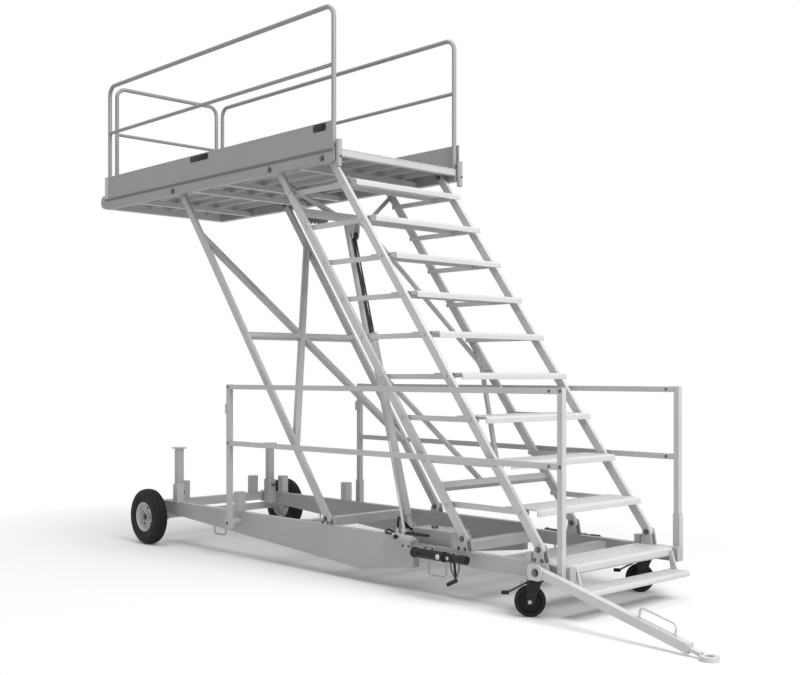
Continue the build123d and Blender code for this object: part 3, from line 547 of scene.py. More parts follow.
def tyre_piece(name, side):
    rows = [[(r, h)] * TYRE_STEPS for r, h in SIDEWALL]
    for k in range(TREAD_ROWS):
        h = TREAD_HALF - TREAD_PITCH * k
        rows.append([(tread_radius(step, h), h) for step in range(TYRE_STEPS)])
    rows += [[(r, -h)] * TYRE_STEPS for r, h in reversed(SIDEWALL)]
    bm = bmesh.new()
    lathe(bm, rows, facing((AXLE_X, side * WHEEL_Y, TYRE_R), (0, side, 0)), True)
    body = "wheel_right" if side < 0 else "wheel_left"
    obj = piece(name, bm, body, tyre_rubber, TYRE_SMOOTH)
    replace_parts(obj, "tyre_right" if side < 0 else "tyre_left")


for word, side in SIDE_NAMES:
    tyre_piece(f"tyre_tread_{word}", side)
    out = Vector((0, side, 0))
    hub = Vector((AXLE_X, side * WHEEL_Y, TYRE_R))
    bm = bmesh.new()
    for k in range(NUTS):
        angle = 2 * math.pi * k / NUTS + NUT_TURN
        arm = Vector((NUT_CIRCLE * math.cos(angle), 0, NUT_CIRCLE * math.sin(angle)))
        bolt(bm, hub + arm + out * NUT_SEAT, out, NUT_HEAD)
    ring(bm, hub + out * HUB_FACE, out, HUB_RING_R, HUB_RING_THICK)
    piece(f"wheel_nuts_{word}", bm, f"wheel_{word}", dark_steel)
    bm = bmesh.new()
    stack(bm, hub + FORWARD * TYRE_VALVE_X, out, TYRE_VALVE)
    piece(f"tyre_valve_{word}", bm, f"wheel_{word}", castor_rubber)
    bm = bmesh.new()
    stack(bm, hub, out, HUB_NUT)
    piece(f"hub_nut_{word}", bm, "chassis", dark_steel)


# Bolts; the heads are widths across flats

RAIL_HEAD = 0.013
PLATE_HEAD = 0.014
GUARD_HEAD = 0.015
LINK_HEAD = 0.015
AXLE_HEAD = 0.016
FOOT_HEAD = 0.017
PIN_HEAD = 0.026
OUTER_PIN_HEAD = 0.030

FOOT_STEP = 0.030
FOOT_RISE = 0.018
JACK_PLATE_Y = 0.6345
JACK_PLATE_STEP = 0.034
JACK_PLATE_ZS = (0.266, 0.330)
POST_HALF = 0.020
RAIL_BOLT_BACK = 0.085
RAIL_BOLT_SEAT = 0.0192
REAR_SOCKET_Y = 0.7491
REAR_SOCKET_LOW = 0.300
REAR_SOCKET_HIGH = 0.500
FRONT_SOCKET_Y = 0.6686
FRONT_SOCKET_ZS = (0.36, 0.52)
CASTOR_PLATE_Z = 0.242
CASTOR_STEP_X = 0.055
CASTOR_STEP_Y = 0.042
AXLE_BOLT_STEP = 0.018
AXLE_BOLT_Y = 0.585
AXLE_BOLT_Z = 0.220
CYLINDER_EAR = 0.036
PUMP_PLATE_XS = (0.850, 0.910)
PUMP_PLATE_Y = -0.638
PUMP_PLATE_Z = 0.322
PLATFORM_EAR = 0.5675
RAIL_SOCKET = (0.195, 0.658, 3.18)

rail_share = RAIL_BOLT_BACK / (GUARD_FRONT_X - GUARD_REAR_X)
rail_bolt_y = GUARD_FRONT_Y + (GUARD_REAR_Y - GUARD_FRONT_Y) * rail_share
bm = bmesh.new()
for foot, seat in ((LEG_FOOT, BEAM_TOP), (REAR_FOOT, RAIL_TOP), (FRONT_FOOT, RAIL_TOP)):
    for side in BOTH:
        for end in BOTH:
            at = (foot + end * FOOT_STEP, side * BEAM_OUT, seat + FOOT_RISE)
            bolt(bm, at, LEFT * side, FOOT_HEAD)
        bolt(bm, (foot, side * BEAM_OUT, FOOT_Z), LEFT * side, PIN_HEAD)
        bolt(bm, (foot, side * BEAM_IN, FOOT_Z), RIGHT * side, PIN_HEAD)
for side in BOTH:
    for end in BOTH:
        for z in JACK_PLATE_ZS:
            at = (JACK_X + end * JACK_PLATE_STEP, side * JACK_PLATE_Y, z)
            bolt(bm, at, LEFT * side, PLATE_HEAD)
    for x, y in ((GUARD_REAR_X, GUARD_REAR_Y), (GUARD_FRONT_X, GUARD_FRONT_Y)):
        for z in GUARD_ZS:
            bolt(bm, (x, side * (y + POST_HALF), z), LEFT * side, GUARD_HEAD)
    for z in GUARD_ZS:
        for face in BOTH:
            at = (GUARD_FRONT_X - RAIL_BOLT_BACK, side * rail_bolt_y + face * RAIL_BOLT_SEAT, z)
            bolt(bm, at, LEFT * face, RAIL_HEAD)
    bolt(bm, (GUARD_REAR_X, side * REAR_SOCKET_Y, REAR_SOCKET_LOW), LEFT * side, FOOT_HEAD)
    for end in BOTH:
        for face in BOTH:
            at = (CASTOR_X + end * CASTOR_STEP_X, side * CASTOR_Y + face * CASTOR_STEP_Y, CASTOR_PLATE_Z)
            bolt(bm, at, DOWN, PLATE_HEAD)
    for end in BOTH:
        bolt(bm, (AXLE_X + end * AXLE_BOLT_STEP, side * AXLE_BOLT_Y, AXLE_BOLT_Z), DOWN, AXLE_HEAD)
    bolt(bm, CYLINDER_FOOT + LEFT * side * CYLINDER_EAR, LEFT * side, PIN_HEAD)
for z in FRONT_SOCKET_ZS:
    bolt(bm, (GUARD_FRONT_X, FRONT_SOCKET_Y, z), LEFT, FOOT_HEAD)
bolt(bm, (GUARD_REAR_X, REAR_SOCKET_Y, REAR_SOCKET_HIGH), LEFT, FOOT_HEAD)
for x in PUMP_PLATE_XS:
    bolt(bm, (x, PUMP_PLATE_Y, PUMP_PLATE_Z), RIGHT, PLATE_HEAD)
piece("chassis_bolts", bm, "chassis", dark_steel)

for body, foot in (("front_links", FRONT_FOOT), ("rear_links", REAR_FOOT)):
    bm = bmesh.new()
    for along in PINS:
        for side in BOTH:
            bolt(bm, on_link(foot, along, 0.0, side * LINK_OUT), LEFT * side, LINK_HEAD)
    piece(f"{body}_bolts", bm, body, zinc)

bm = bmesh.new()
for foot in (FRONT_FOOT, REAR_FOOT, LEG_FOOT):
    for side in BOTH:
        bolt(bm, on_link(foot, LINK, 0.0, side * PLATFORM_EAR), RIGHT * side, PIN_HEAD)
for side in BOTH:
    bolt(bm, (RAIL_SOCKET[0], side * RAIL_SOCKET[1], RAIL_SOCKET[2]), FORWARD, PLATE_HEAD)
    for foot in (FRONT_FOOT, REAR_FOOT, LEG_FOOT):
        bolt(bm, on_link(foot, LINK, 0.0, side * PLATFORM_OUT), LEFT * side, OUTER_PIN_HEAD)
piece("platform_bolts", bm, "platform", dark_steel)


# Weld beads

# Upright tubes on the beams and rails: place along X, place off the middle, seat, half width
UPRIGHTS = ((-2.150, 0.5925, BEAM_TOP, 0.035), (AXLE_X - 0.008, 0.390, BEAM_TOP, 0.035),
            (-1.200, 0.5925, BEAM_TOP, 0.035), (1.990, 0.5925, RAIL_TOP, 0.022))
# Cross members between the beams and rails: place along X, width, bottom, top
CROSS_MEMBERS = ((AXLE_X - 0.008, 0.070, 0.310, 0.385), (-0.360, 0.080, 0.315, 0.385),
                 (0.249, 0.130, 0.185, 0.285), (1.010, 0.120, 0.255, 0.320), (1.700, 0.060, 0.265, 0.330))
LINK_BEAM_HALF = 0.025
LINK_BEAM_BELOW = 0.015

bm = bmesh.new()
for x, y, seat, half in UPRIGHTS:
    for side in BOTH:
        bead_loop(bm, (x, side * y, seat + BEAD_GAP), FORWARD, LEFT, half, half)
for x, wide, bottom, top in CROSS_MEMBERS:
    for side in BOTH:
        at = (x, side * (BEAM_IN - BEAD_GAP), (bottom + top) / 2)
        bead_loop(bm, at, FORWARD, UP, wide / 2, (top - bottom) / 2)
piece("chassis_welds", bm, "chassis", grey_paint)

bm = bmesh.new()
for along in (UPPER_BEAM, LOWER_BEAM):
    for side in BOTH:
        at = on_link(REAR_FOOT, along, LINK_BEAM_BELOW, side * (LINK_IN - BEAD_GAP))
        bead_loop(bm, at, RUN, OFF, LINK_BEAM_HALF, LINK_BEAM_HALF)
piece("rear_link_welds", bm, "rear_links", lit_pale_paint)


# Leg braces: square tubes with mitred ends and weld beads; they differ in depth so no faces coincide

BRACE = 0.050
BRACE_LOW = 0.2033 * LINK
BRACE_HIGH = 0.839 * LINK
BRACE_MID = (BRACE_LOW + BRACE_HIGH) / 2
CROSS_DEEPER = 0.0004
MIDDLE_THINNER = 0.001

bm = bmesh.new()
for side in BOTH:
    low_end = (BRACE_LOW, -side * LINK_IN)
    high_end = (BRACE_HIGH, side * LINK_IN)
    strut(bm, LEG_FOOT, low_end, high_end, BRACE, BRACE + side * CROSS_DEEPER)
strut(bm, LEG_FOOT, (BRACE_MID, -LINK_IN), (BRACE_MID, LINK_IN), BRACE, BRACE - MIDDLE_THINNER)
piece("leg_brace_tubes", bm, "leg_links", grey_paint)

cut_half = mitre((BRACE_LOW, -LINK_IN), (BRACE_HIGH, LINK_IN), BRACE)
bm = bmesh.new()
for side in BOTH:
    for along, half in ((BRACE_LOW, cut_half), (BRACE_MID, BRACE / 2), (BRACE_HIGH, cut_half)):
        at = on_link(LEG_FOOT, along, 0.0, side * (LINK_IN - BEAD_GAP))
        bead_loop(bm, at, RUN, OFF, half, BRACE / 2)
piece("leg_welds", bm, "leg_links", grey_paint)


# Treads and steps: raised grip ribs

RIB_WIDE = 0.012
RIB_HIGH = 0.0022
RIB_RISE = 0.0008
RIB_BEVEL = 0.0008
RIB_PITCH = 0.040
RIBS = 6
TREAD_TOP = 0.026
TREAD_RIB_LONG = 1.06
TREAD_RIB_START = -0.135
STEP_RIB_MARGIN = 0.06
LOWER_RIB_BACK = 0.075
LOWER_RIB_PITCH = 0.036


def ribs(bm, xs, top, long):
    for x in xs:
        block(bm, (x, 0, top + RIB_RISE), (RIB_WIDE, long, RIB_HIGH), RIB_BEVEL)


for n, along in enumerate(PINS):
    pin = on_link(FRONT_FOOT, along)
    bm = bmesh.new()
    xs = [pin.x + TREAD_RIB_START + RIB_PITCH * k for k in range(RIBS)]
    ribs(bm, xs, pin.z + TREAD_TOP, TREAD_RIB_LONG)
    piece(f"tread_grip_{n + 1}", bm, f"tread_{n + 1}", lit_pale_paint)

bm = bmesh.new()
step_low, step_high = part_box("fixed_step")
xs = [step_low.x + RIB_PITCH * (k + 1) for k in range(RIBS)]
ribs(bm, xs, step_high.z, step_high.y - step_low.y - STEP_RIB_MARGIN)
step_low, step_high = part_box("lower_step")
xs = [step_high.x - LOWER_RIB_BACK + LOWER_RIB_PITCH * k for k in (-1, 0, 1)]
ribs(bm, xs, LOWER_STEP_TOP, step_high.y - step_low.y - STEP_RIB_MARGIN)
piece("step_grip", bm, "chassis", lit_pale_paint)


# Deck: raised lozenges, with bare corners

GRIP_ROWS = 46
GRIP_COLUMNS = 18
GRIP_REAR = -3.27
GRIP_RIGHT = -0.6375
GRIP_PITCH_X = 0.0745
GRIP_PITCH_Y = 0.075
GRIP_TIPS = (Vector((-0.015, 0, 0)), Vector((0, -0.0045, 0)), Vector((0.015, 0, 0)), Vector((0, 0.0045, 0)))
GRIP_TURN = math.radians(45)
GRIP_TOP_SHARE = 0.7
GRIP_HIGH = 0.0016
BARE_Y = 0.60
BARE_REAR = -3.24
BARE_FRONT = 0.06

bm = bmesh.new()
for i in range(GRIP_ROWS):
    for j in range(GRIP_COLUMNS):
        x = GRIP_REAR + GRIP_PITCH_X * i
        y = GRIP_RIGHT + GRIP_PITCH_Y * j
        if abs(y) > BARE_Y and (x < BARE_REAR or x > BARE_FRONT):
            continue
        slew = Matrix.Rotation(GRIP_TURN if (i + j) % 2 else -GRIP_TURN, 3, "Z")
        tips = [slew @ tip for tip in GRIP_TIPS]
        lower = [bm.verts.new((x + tip.x, y + tip.y, DECK_Z)) for tip in tips]
        tips = [tip * GRIP_TOP_SHARE for tip in tips]
        upper = [bm.verts.new((x + tip.x, y + tip.y, DECK_Z + GRIP_HIGH)) for tip in tips]
        bm.faces.new(upper)
        for k in range(4):
            bm.faces.new((lower[k], lower[(k + 1) % 4], upper[(k + 1) % 4], upper[k]))
piece("deck_grip", bm, "platform", deck_paint)


# Right toeboard: two blank plates with rivets

# Middle in X and Z, length, height
PLATES = ((-0.021, 3.421, 0.156, 0.058), (-1.672, 3.423, 0.282, 0.052))
PLATE_THICK = 0.0018
PLATE_RISE = 0.0008
PLATE_BEVEL = 0.0006
RIVET_INSET = 0.008
RIVET_R = 0.003
RIVET_TOP_R = 0.002
RIVET_HIGH = 0.0012
RIVET_SIDES = 12
PLATE_FACE = PLATFORM_OUT + PLATE_RISE + PLATE_THICK / 2

bm = bmesh.new()
for x, z, long, tall in PLATES:
    block(bm, (x, -PLATFORM_OUT - PLATE_RISE, z), (long, PLATE_THICK, tall), PLATE_BEVEL)
piece("toeboard_plates", bm, "platform", plate_paint)
bm = bmesh.new()
for x, z, long, tall in PLATES:
    for a in BOTH:
        for c in BOTH:
            at = (x + a * (long / 2 - RIVET_INSET), -PLATE_FACE, z + c * (tall / 2 - RIVET_INSET))
            disc(bm, at, RIGHT, RIVET_R, RIVET_HIGH, RIVET_SIDES, RIVET_TOP_R)
piece("plate_rivets", bm, "platform", zinc)


# Near-black strips along the deck's edges, painted shadow for the seam between toeboard and beam, and
# angles on the rear corners of the toeboards

STRIP_THICK = 0.003
STRIP_BEVEL = 0.001
SEAM_SHADOW_X = -1.590
SEAM_SHADOW_Z = 3.237
SEAM_SHADOW_LONG = 3.455
SEAM_SHADOW_HIGH = 0.022
ANGLE_Z = 3.345
ANGLE_HIGH = 0.205
ANGLE_LONG = 0.056
ANGLE_WIDE = 0.048
STRIP_Y = PLATFORM_OUT + STRIP_THICK / 2

# The dark strip along each deck edge is painted shadow: a thin sheet put where the seam between toeboard
# and beam falls in shade
bm = bmesh.new()
for side in BOTH:
    block(bm, (SEAM_SHADOW_X, side * STRIP_Y, SEAM_SHADOW_Z), (SEAM_SHADOW_LONG, STRIP_THICK, SEAM_SHADOW_HIGH), STRIP_BEVEL)
piece("deck_seam_shadow", bm, "platform", seam_shadow_paint)

bm = bmesh.new()
for side in BOTH:
    at = (PLATFORM_REAR + ANGLE_LONG / 2, side * STRIP_Y, ANGLE_Z)
    block(bm, at, (ANGLE_LONG, STRIP_THICK, ANGLE_HIGH), STRIP_BEVEL)
    at = (PLATFORM_REAR - STRIP_THICK / 2, side * (PLATFORM_OUT - ANGLE_WIDE / 2), ANGLE_Z)
    block(bm, at, (STRIP_THICK, ANGLE_WIDE, ANGLE_HIGH), STRIP_BEVEL)
piece("toeboard_corners", bm, "platform", lit_pale_paint)


# Bumper roll with rounded ends and stitched bands

BUMPER_AT = (-3.385, 0, 3.23)
BUMPER_HALF = 0.668
BUMPER_STEPS = 48
BUMPER_SMOOTH = 30.0
# Radius and distance from the end
BUMPER_END = ((0.050, 0.0), (0.060, 0.004), (0.065, 0.012))
BANDS = (-0.45, -0.15, 0.15, 0.45)
# Distance from the band's middle and radius
BAND_SHAPE = ((-0.022, 0.0650), (-0.020, 0.0635), (-0.017, 0.0650), (0.017, 0.0650), (0.020, 0.0635),
              (0.022, 0.0650))

profile = [(r, inset - BUMPER_HALF) for r, inset in BUMPER_END]
profile += [(r, band + step) for band in BANDS for step, r in BAND_SHAPE]
profile += [(r, BUMPER_HALF - inset) for r, inset in reversed(BUMPER_END)]
bm = bmesh.new()
lathe(bm, [[point] * BUMPER_STEPS for point in profile], facing(BUMPER_AT, LEFT), False)
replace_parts(piece("bumper_cover", bm, "platform", bumper_skin, BUMPER_SMOOTH), "bumper_roll")


# Cylinder: gland rings, port and clevis caps

ROD_EYE = on_link(REAR_FOOT, 0.8435 * LINK, 0.110)
# Distance from the foot, radius, thickness and steps
GLAND_RINGS = ((1.531, 0.0445, 0.0025, 36), (1.560, 0.0445, 0.0025, 36), (1.588, 0.0440, 0.0025, 36),
               (1.592, 0.0265, 0.0030, 28))
PORT_ALONG = 0.135
PORT = ((0.036, 0.014, 0.014, 18), (0.050, 0.0115, 0.012, 6))
CLEVIS_CAP = ((0.038, 0.022, 0.006, 28),)
CLEVIS_BOLT = 0.044
CLEVIS_HEAD = 0.020

aim = (ROD_EYE - CYLINDER_FOOT).normalized()
bm = bmesh.new()
for along, r, thick, steps in GLAND_RINGS:
    ring(bm, CYLINDER_FOOT + aim * along, aim, r, thick, steps)
stack(bm, CYLINDER_FOOT + aim * PORT_ALONG, RIGHT, PORT)
piece("barrel_fittings", bm, "barrel", zinc)
bm = bmesh.new()
for side in BOTH:
    stack(bm, ROD_EYE, LEFT * side, CLEVIS_CAP)
    bolt(bm, ROD_EYE + LEFT * side * CLEVIS_BOLT, LEFT * side, CLEVIS_HEAD)
piece("clevis_caps", bm, "rear_links", dark_steel)


# Valve under the upper cross-beam: block, five ports and an end knob

VALVE_Y = -0.36
VALVE_BELOW = 0.040
VALVE_SIDE = 0.044
VALVE_LONG = 0.190
VALVE_BEVEL = 0.004
# Place along the block and radius
VALVE_PORTS = ((-0.072, 0.013), (-0.036, 0.015), (0.0, 0.013), (0.036, 0.015), (0.072, 0.013))
NECK_SHARE = 0.65
PORT_HIGH = 0.018
NECK_AT = 0.062
NECK_HIGH = 0.016
NECK_SIDES = 14
NECK_RING_AT = 0.070
NECK_RING_THICK = 0.002
VALVE_KNOB = ((0.094, 0.008, 0.022, 14), (0.116, 0.015, 0.014, 20))

bm = bmesh.new()
tilt = Matrix((RUN, LEFT, -OFF)).transposed()
valve_top = on_link(REAR_FOOT, UPPER_BEAM, VALVE_BELOW, VALVE_Y)
valve_middle = valve_top + OFF * (VALVE_SIDE / 2)
block(bm, valve_middle, (VALVE_SIDE, VALVE_LONG, VALVE_SIDE), VALVE_BEVEL, tilt)
for y, r in VALVE_PORTS:
    neck = r * NECK_SHARE
    nut_and_neck = ((VALVE_SIDE, r, PORT_HIGH, HEXAGON), (NECK_AT, neck, NECK_HIGH, NECK_SIDES))
    stack(bm, valve_top + LEFT * y, OFF, nut_and_neck)
    ring(bm, valve_top + OFF * NECK_RING_AT + LEFT * y, OFF, neck, NECK_RING_THICK, SMALL_RING)
stack(bm, valve_middle, RIGHT, VALVE_KNOB)
piece("beam_valve", bm, "rear_links", dark_steel)


# Pump: unions of the hoses, release knob and pedal ribs; tank: cap

# Place and axis
UNIONS = (((0.801, -0.652, 0.398), -FORWARD), ((0.814, -0.652, 0.412), UP),
          ((0.821, -0.450, 0.400), -FORWARD), ((0.279, -0.036, 0.310), RIGHT))
UNION = ((0.0, 0.0145, 0.014, 6), (0.014, 0.0112, 0.024, 16))
KNOB_AT = (0.835, -0.676, 0.390)
KNOB = ((0.0, 0.009, 0.012, 14), (0.012, 0.017, 0.014, 10))
PEDAL_RIBS = 9
PEDAL_START = 0.918
PEDAL_PITCH = 0.024
PEDAL_Y = -0.652
PEDAL_Z = 0.4308
PEDAL_RIB = (0.006, 0.030, 0.0022)
PEDAL_BEVEL = 0.0006
CAP_X = 0.960
CAP_Y = -0.425
CAP_R = 0.0225
CAP_KNURLS = 18
KNURL_Z = 0.441
KNURL = ((0.0, 0.0025, 0.016, 8),)
CAP_RING_Z = 0.4575
CAP_RING_R = 0.0195
CAP_RING_THICK = 0.0025

bm = bmesh.new()
for at, axis in UNIONS:
    stack(bm, at, axis, UNION)
piece("hose_unions", bm, "chassis", zinc)
bm = bmesh.new()
stack(bm, KNOB_AT, RIGHT, KNOB)
for k in range(PEDAL_RIBS):
    block(bm, (PEDAL_START + PEDAL_PITCH * k, PEDAL_Y, PEDAL_Z), PEDAL_RIB, PEDAL_BEVEL)
piece("pump_knob", bm, "chassis", castor_rubber)
bm = bmesh.new()
for c, s in circle(CAP_KNURLS):
    stack(bm, (CAP_X + CAP_R * c, CAP_Y + CAP_R * s, KNURL_Z), UP, KNURL)
ring(bm, (CAP_X, CAP_Y, CAP_RING_Z), UP, CAP_RING_R, CAP_RING_THICK)
piece("tank_cap", bm, "chassis", dark_steel)


# Swing jacks: end disc, collars, pivot bolt, fittings and crank stays

JACK_END_X = 1.047
JACK_END = ((0.0, 0.0345, 0.003, 30),)
# Starts are places along X
JACK_COLLARS = ((1.334, 0.0355, 0.014, 30), (1.372, 0.0300, 0.014, 30), (1.414, 0.0300, 0.014, 30))
JACK_PIVOT_SEAT = 0.032
JACK_PIVOT_HEAD = 0.024
BOSS_X = 1.312
BOSS = ((0.0325, 0.019, 0.004, 26), (0.0365, 0.013, 0.005, 22, 0.010))
PLUG_X = 1.398
PLUG = ((0.0245, 0.012, 0.006, 22),)
# Places in X and Z
STAYS = (((1.398, 0.288), (1.406, 0.235), (1.447, 0.172)), ((1.482, 0.288), (1.478, 0.235), (1.452, 0.172)))
STAY_R = 0.006
STAY_SIDES = 10

for word, side in SIDE_NAMES:
    y = side * JACK_Y
    body = f"swing_jack_{word}"
    out = LEFT * side
    bm = bmesh.new()
    stack(bm, (JACK_END_X, y, JACK_Z), -FORWARD, JACK_END)
    stack(bm, (0, y, JACK_Z), FORWARD, JACK_COLLARS)
    bolt(bm, (JACK_X, y + side * JACK_PIVOT_SEAT, JACK_Z), out, JACK_PIVOT_HEAD)
    piece(f"jack_collars_{word}", bm, body, black_paint)
    bm = bmesh.new()
    stack(bm, (BOSS_X, y, JACK_Z), out, BOSS)
    stack(bm, (PLUG_X, y, JACK_Z), out, PLUG)
    piece(f"jack_fittings_{word}", bm, body, zinc)
    bm = bmesh.new()
    for stay in STAYS:
        tube(bm, [(x, y, z) for x, z in stay], STAY_R, STAY_SIDES)
    piece(f"jack_stays_{word}", bm, body, dark_steel)


# Castors: axle nuts, brake ring, brake pad with ribs and swivel ring; places are in the fork's own axes

CASTOR_AXLE = Vector((-0.045, 0, 0.100))
CASTOR_FACE = 0.042
CASTOR_HEAD = 0.016
BRAKE_RING_AT = Vector((-0.098, 0, 0.213))
BRAKE_RING_R = 0.011
BRAKE_RING_THICK = 0.003
PAD_AT = Vector((-0.203, 0, 0.1490))
PAD = (0.050, 0.044, 0.020)
PAD_BEVEL = 0.005
PAD_RIBS = 4
PAD_RIB_START = Vector((-0.188, 0, 0.1595))
PAD_RIB_PITCH = 0.010
PAD_RIB = (0.004, 0.036, 0.002)
PAD_RIB_BEVEL = 0.0005
SWIVEL_AT = Vector((0, 0, 0.2326))
SWIVEL_R = 0.0415
SWIVEL_THICK = 0.0035

for word, side in SIDE_NAMES:
    fork_turn = Matrix.Rotation(CASTOR_TURN, 3, "Z")
    fork = Matrix.Translation((CASTOR_X, side * CASTOR_Y, 0)) @ fork_turn.to_4x4()
    fork_across = fork_turn @ LEFT
    bm = bmesh.new()
    for face in BOTH:
        bolt(bm, fork @ (CASTOR_AXLE + LEFT * face * CASTOR_FACE), fork_across * face, CASTOR_HEAD)
    ring(bm, fork @ BRAKE_RING_AT, fork_across, BRAKE_RING_R, BRAKE_RING_THICK)
    piece(f"castor_nuts_{word}", bm, f"castor_{word}", zinc)
    bm = bmesh.new()
    block(bm, fork @ PAD_AT, PAD, PAD_BEVEL, fork_turn)
    for k in range(PAD_RIBS):
        at = PAD_RIB_START - FORWARD * PAD_RIB_PITCH * k
        block(bm, fork @ at, PAD_RIB, PAD_RIB_BEVEL, fork_turn)
    ring(bm, fork @ SWIVEL_AT, UP, SWIVEL_R, SWIVEL_THICK, WIDE_RING)
    piece(f"castor_brake_{word}", bm, f"castor_{word}", castor_rubber)


# Drop legs: spring pins on the sleeves

LEG_PIN_X = -2.222
LEG_PIN_Y = 0.516
LEG_PIN_Z = 0.462
LEG_PIN = ((0.0, 0.011, 0.016, 16), (0.016, 0.006, 0.014, 12), (0.030, 0.013, 0.010, 20))

bm = bmesh.new()
for side in BOTH:
    stack(bm, (LEG_PIN_X, side * LEG_PIN_Y, LEG_PIN_Z), FORWARD, LEG_PIN)
piece("leg_pins", bm, "chassis", dark_steel)


# Drawbar: hinge bolt, collar and weld bead behind the eye, beads at the feet of the handle

BAR_TURN = math.radians(4.38)
BAR_HINGE = Vector((2.140, -0.6859, 0.305))
BAR_TIP_X = 3.395
BAR_TIP_Z = 0.013
HINGE_SEAT = 0.0390
HINGE_HEAD = 0.034
HINGE_NUT = 0.030
COLLAR_SHARE = 0.893
COLLAR = (0.018, 0.0595, 0.0595)
COLLAR_BEVEL = 0.002
EYE_SHARE = 0.9
EYE_HALF_ACROSS = 0.020
EYE_HALF_HIGH = 0.0105
HANDLE_SHARES = (0.622, 0.828)
HANDLE_RISE = 0.0275
HANDLE_BEAD_R = 0.0085
HANDLE_BEAD_THICK = 0.003

bar_across = Vector((math.sin(BAR_TURN), math.cos(BAR_TURN), 0))
bar_tip_y = BAR_HINGE.y - math.tan(BAR_TURN) * (BAR_TIP_X - BAR_HINGE.x)
bar = Vector((BAR_TIP_X, bar_tip_y, BAR_TIP_Z)) - BAR_HINGE
bar_run = bar.normalized()
bar_under = bar_across.cross(bar_run)
bm = bmesh.new()
bolt(bm, BAR_HINGE - bar_across * HINGE_SEAT, -bar_across, HINGE_HEAD)
bolt(bm, BAR_HINGE + bar_across * HINGE_SEAT, bar_across, HINGE_NUT)
piece("hinge_bolt", bm, "chassis", dark_steel)
bm = bmesh.new()
bar_turned = Matrix((bar_run, bar_across, -bar_under)).transposed()
block(bm, BAR_HINGE + bar * COLLAR_SHARE, COLLAR, COLLAR_BEVEL, bar_turned)
eye_root = BAR_HINGE + bar * EYE_SHARE + bar_run * BEAD_GAP
bead_loop(bm, eye_root, bar_across, bar_under, EYE_HALF_ACROSS, EYE_HALF_HIGH)
for share in HANDLE_SHARES:
    handle_foot = BAR_HINGE + bar * share + UP * HANDLE_RISE
    ring(bm, handle_foot, UP, HANDLE_BEAD_R, HANDLE_BEAD_THICK, SMALL_RING)
piece("drawbar_collar", bm, "drawbar", lit_pale_paint)


# Floor and world: white to the camera, mirrors and glass, with a plain light on the object

FLOOR_HALF = 60
FLOOR_TONE = 0.86
FLOOR_ROUGH = 0.9
FLOOR_SHINE = 0.1
# The floor is white outside an oval round the object, so that the shadow inside it stays
OVAL_SCALE = (0.5, 0.8, 0.0)
OVAL_START = 1.2
OVAL_END = 2.8
AMBIENT = 0.42


def seen_directly(tree):
    """One for rays from the camera, mirrors and glass, else zero."""
    path = tree.nodes.new("ShaderNodeLightPath")
    total = path.outputs["Is Camera Ray"]
    for name in ("Is Glossy Ray", "Is Transmission Ray"):
        step = add(tree, "ShaderNodeMath", operation="ADD", use_clamp=True)
        tree.links.new(total, step.inputs[0])
        tree.links.new(path.outputs[name], step.inputs[1])
        total = step.outputs[0]
    return total


floor_mesh = bpy.data.meshes.new("floor")
floor_corners = [(a * FLOOR_HALF, c * FLOOR_HALF, 0) for a, c in CORNERS]
floor_mesh.from_pydata(floor_corners, [], [(0, 1, 2, 3)])
floor = bpy.data.objects.new("floor", floor_mesh)
scene.collection.objects.link(floor)
floor_mat, tree, shader = new_material("floor_paint")
shader.inputs["Base Color"].default_value = grey(FLOOR_TONE)
shader.inputs["Roughness"].default_value = FLOOR_ROUGH
shader.inputs["Specular IOR Level"].default_value = FLOOR_SHINE
floor_place = add(tree, "ShaderNodeNewGeometry")
oval = add(tree, "ShaderNodeVectorMath", operation="MULTIPLY")
oval.inputs[1].default_value = OVAL_SCALE
tree.links.new(floor_place.outputs["Position"], oval.inputs[0])
distance = add(tree, "ShaderNodeVectorMath", operation="LENGTH")
tree.links.new(oval.outputs["Vector"], distance.inputs[0])
outside = add(tree, "ShaderNodeMapRange", in_From_Min=OVAL_START, in_From_Max=OVAL_END)
tree.links.new(distance.outputs["Value"], outside.inputs["Value"])
white = add(tree, "ShaderNodeEmission", in_Strength=1.0)
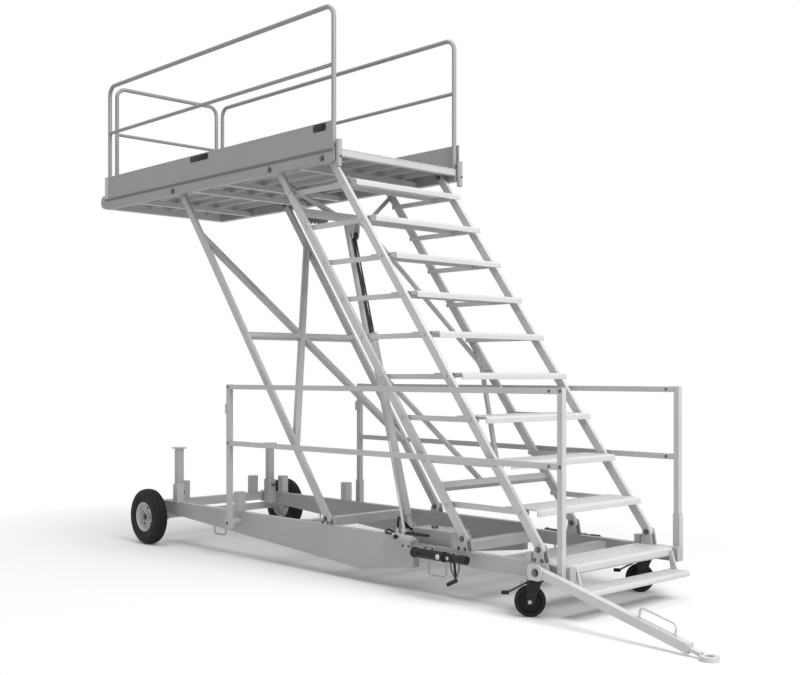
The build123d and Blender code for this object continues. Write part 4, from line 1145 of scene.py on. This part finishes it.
either = add(tree, "ShaderNodeMixShader")
tree.links.new(times(tree, outside.outputs["Result"], seen_directly(tree)), either.inputs[0])
tree.links.new(shader.outputs[0], either.inputs[1])
tree.links.new(white.outputs[0], either.inputs[2])
tree.links.new(either.outputs[0], tree.nodes["Material Output"].inputs["Surface"])
floor_mesh.materials.append(floor_mat)

world = bpy.data.worlds.new("studio")
world.use_nodes = True
tree = world.node_tree
sky = tree.nodes["Background"]
sky.inputs["Color"].default_value = grey(1.0)
strength = add(tree, "ShaderNodeMapRange", in_To_Min=AMBIENT, in_To_Max=1.0)
tree.links.new(seen_directly(tree), strength.inputs["Value"])
tree.links.new(strength.outputs["Result"], sky.inputs["Strength"])
scene.world = world


# Lamps

def lamp(name, place, aim, size, power):
    data = bpy.data.lights.new(name, "AREA")
    data.size = size
    data.energy = power
    obj = bpy.data.objects.new(name, data)
    obj.location = place
    obj.rotation_euler = (Vector(aim) - Vector(place)).to_track_quat("-Z", "Y").to_euler()
    scene.collection.objects.link(obj)


lamp("key", place=(9.5, -1.0, 9.0), aim=(0.0, 0.0, 1.5), size=6.0, power=1250)
lamp("top", place=(-1.0, -2.0, 12.0), aim=(-0.5, 0.0, 1.5), size=8.0, power=500)


# Camera at the photo's place, level, with the photo's focal length and horizon in its pixels

EYE = Vector((6.652, -6.143, 1.537))
TURN = math.radians(46.647)
PHOTO_WIDE = 800.0
PHOTO_HIGH = 675.0
FOCAL_PX = 1126.3
HORIZON_PX = 374.7
SENSOR = 36.0
SIGHT = 200.0

camera_data = bpy.data.cameras.new("camera")
camera_data.sensor_fit = "HORIZONTAL"
camera_data.sensor_width = SENSOR
camera_data.lens = FOCAL_PX * SENSOR / PHOTO_WIDE
camera_data.shift_y = (HORIZON_PX - PHOTO_HIGH / 2) / PHOTO_WIDE
camera_data.clip_end = SIGHT
camera = bpy.data.objects.new("camera", camera_data)
camera.location = EYE
camera.rotation_euler = (math.pi / 2, 0.0, TURN)
scene.collection.objects.link(camera)
scene.camera = camera
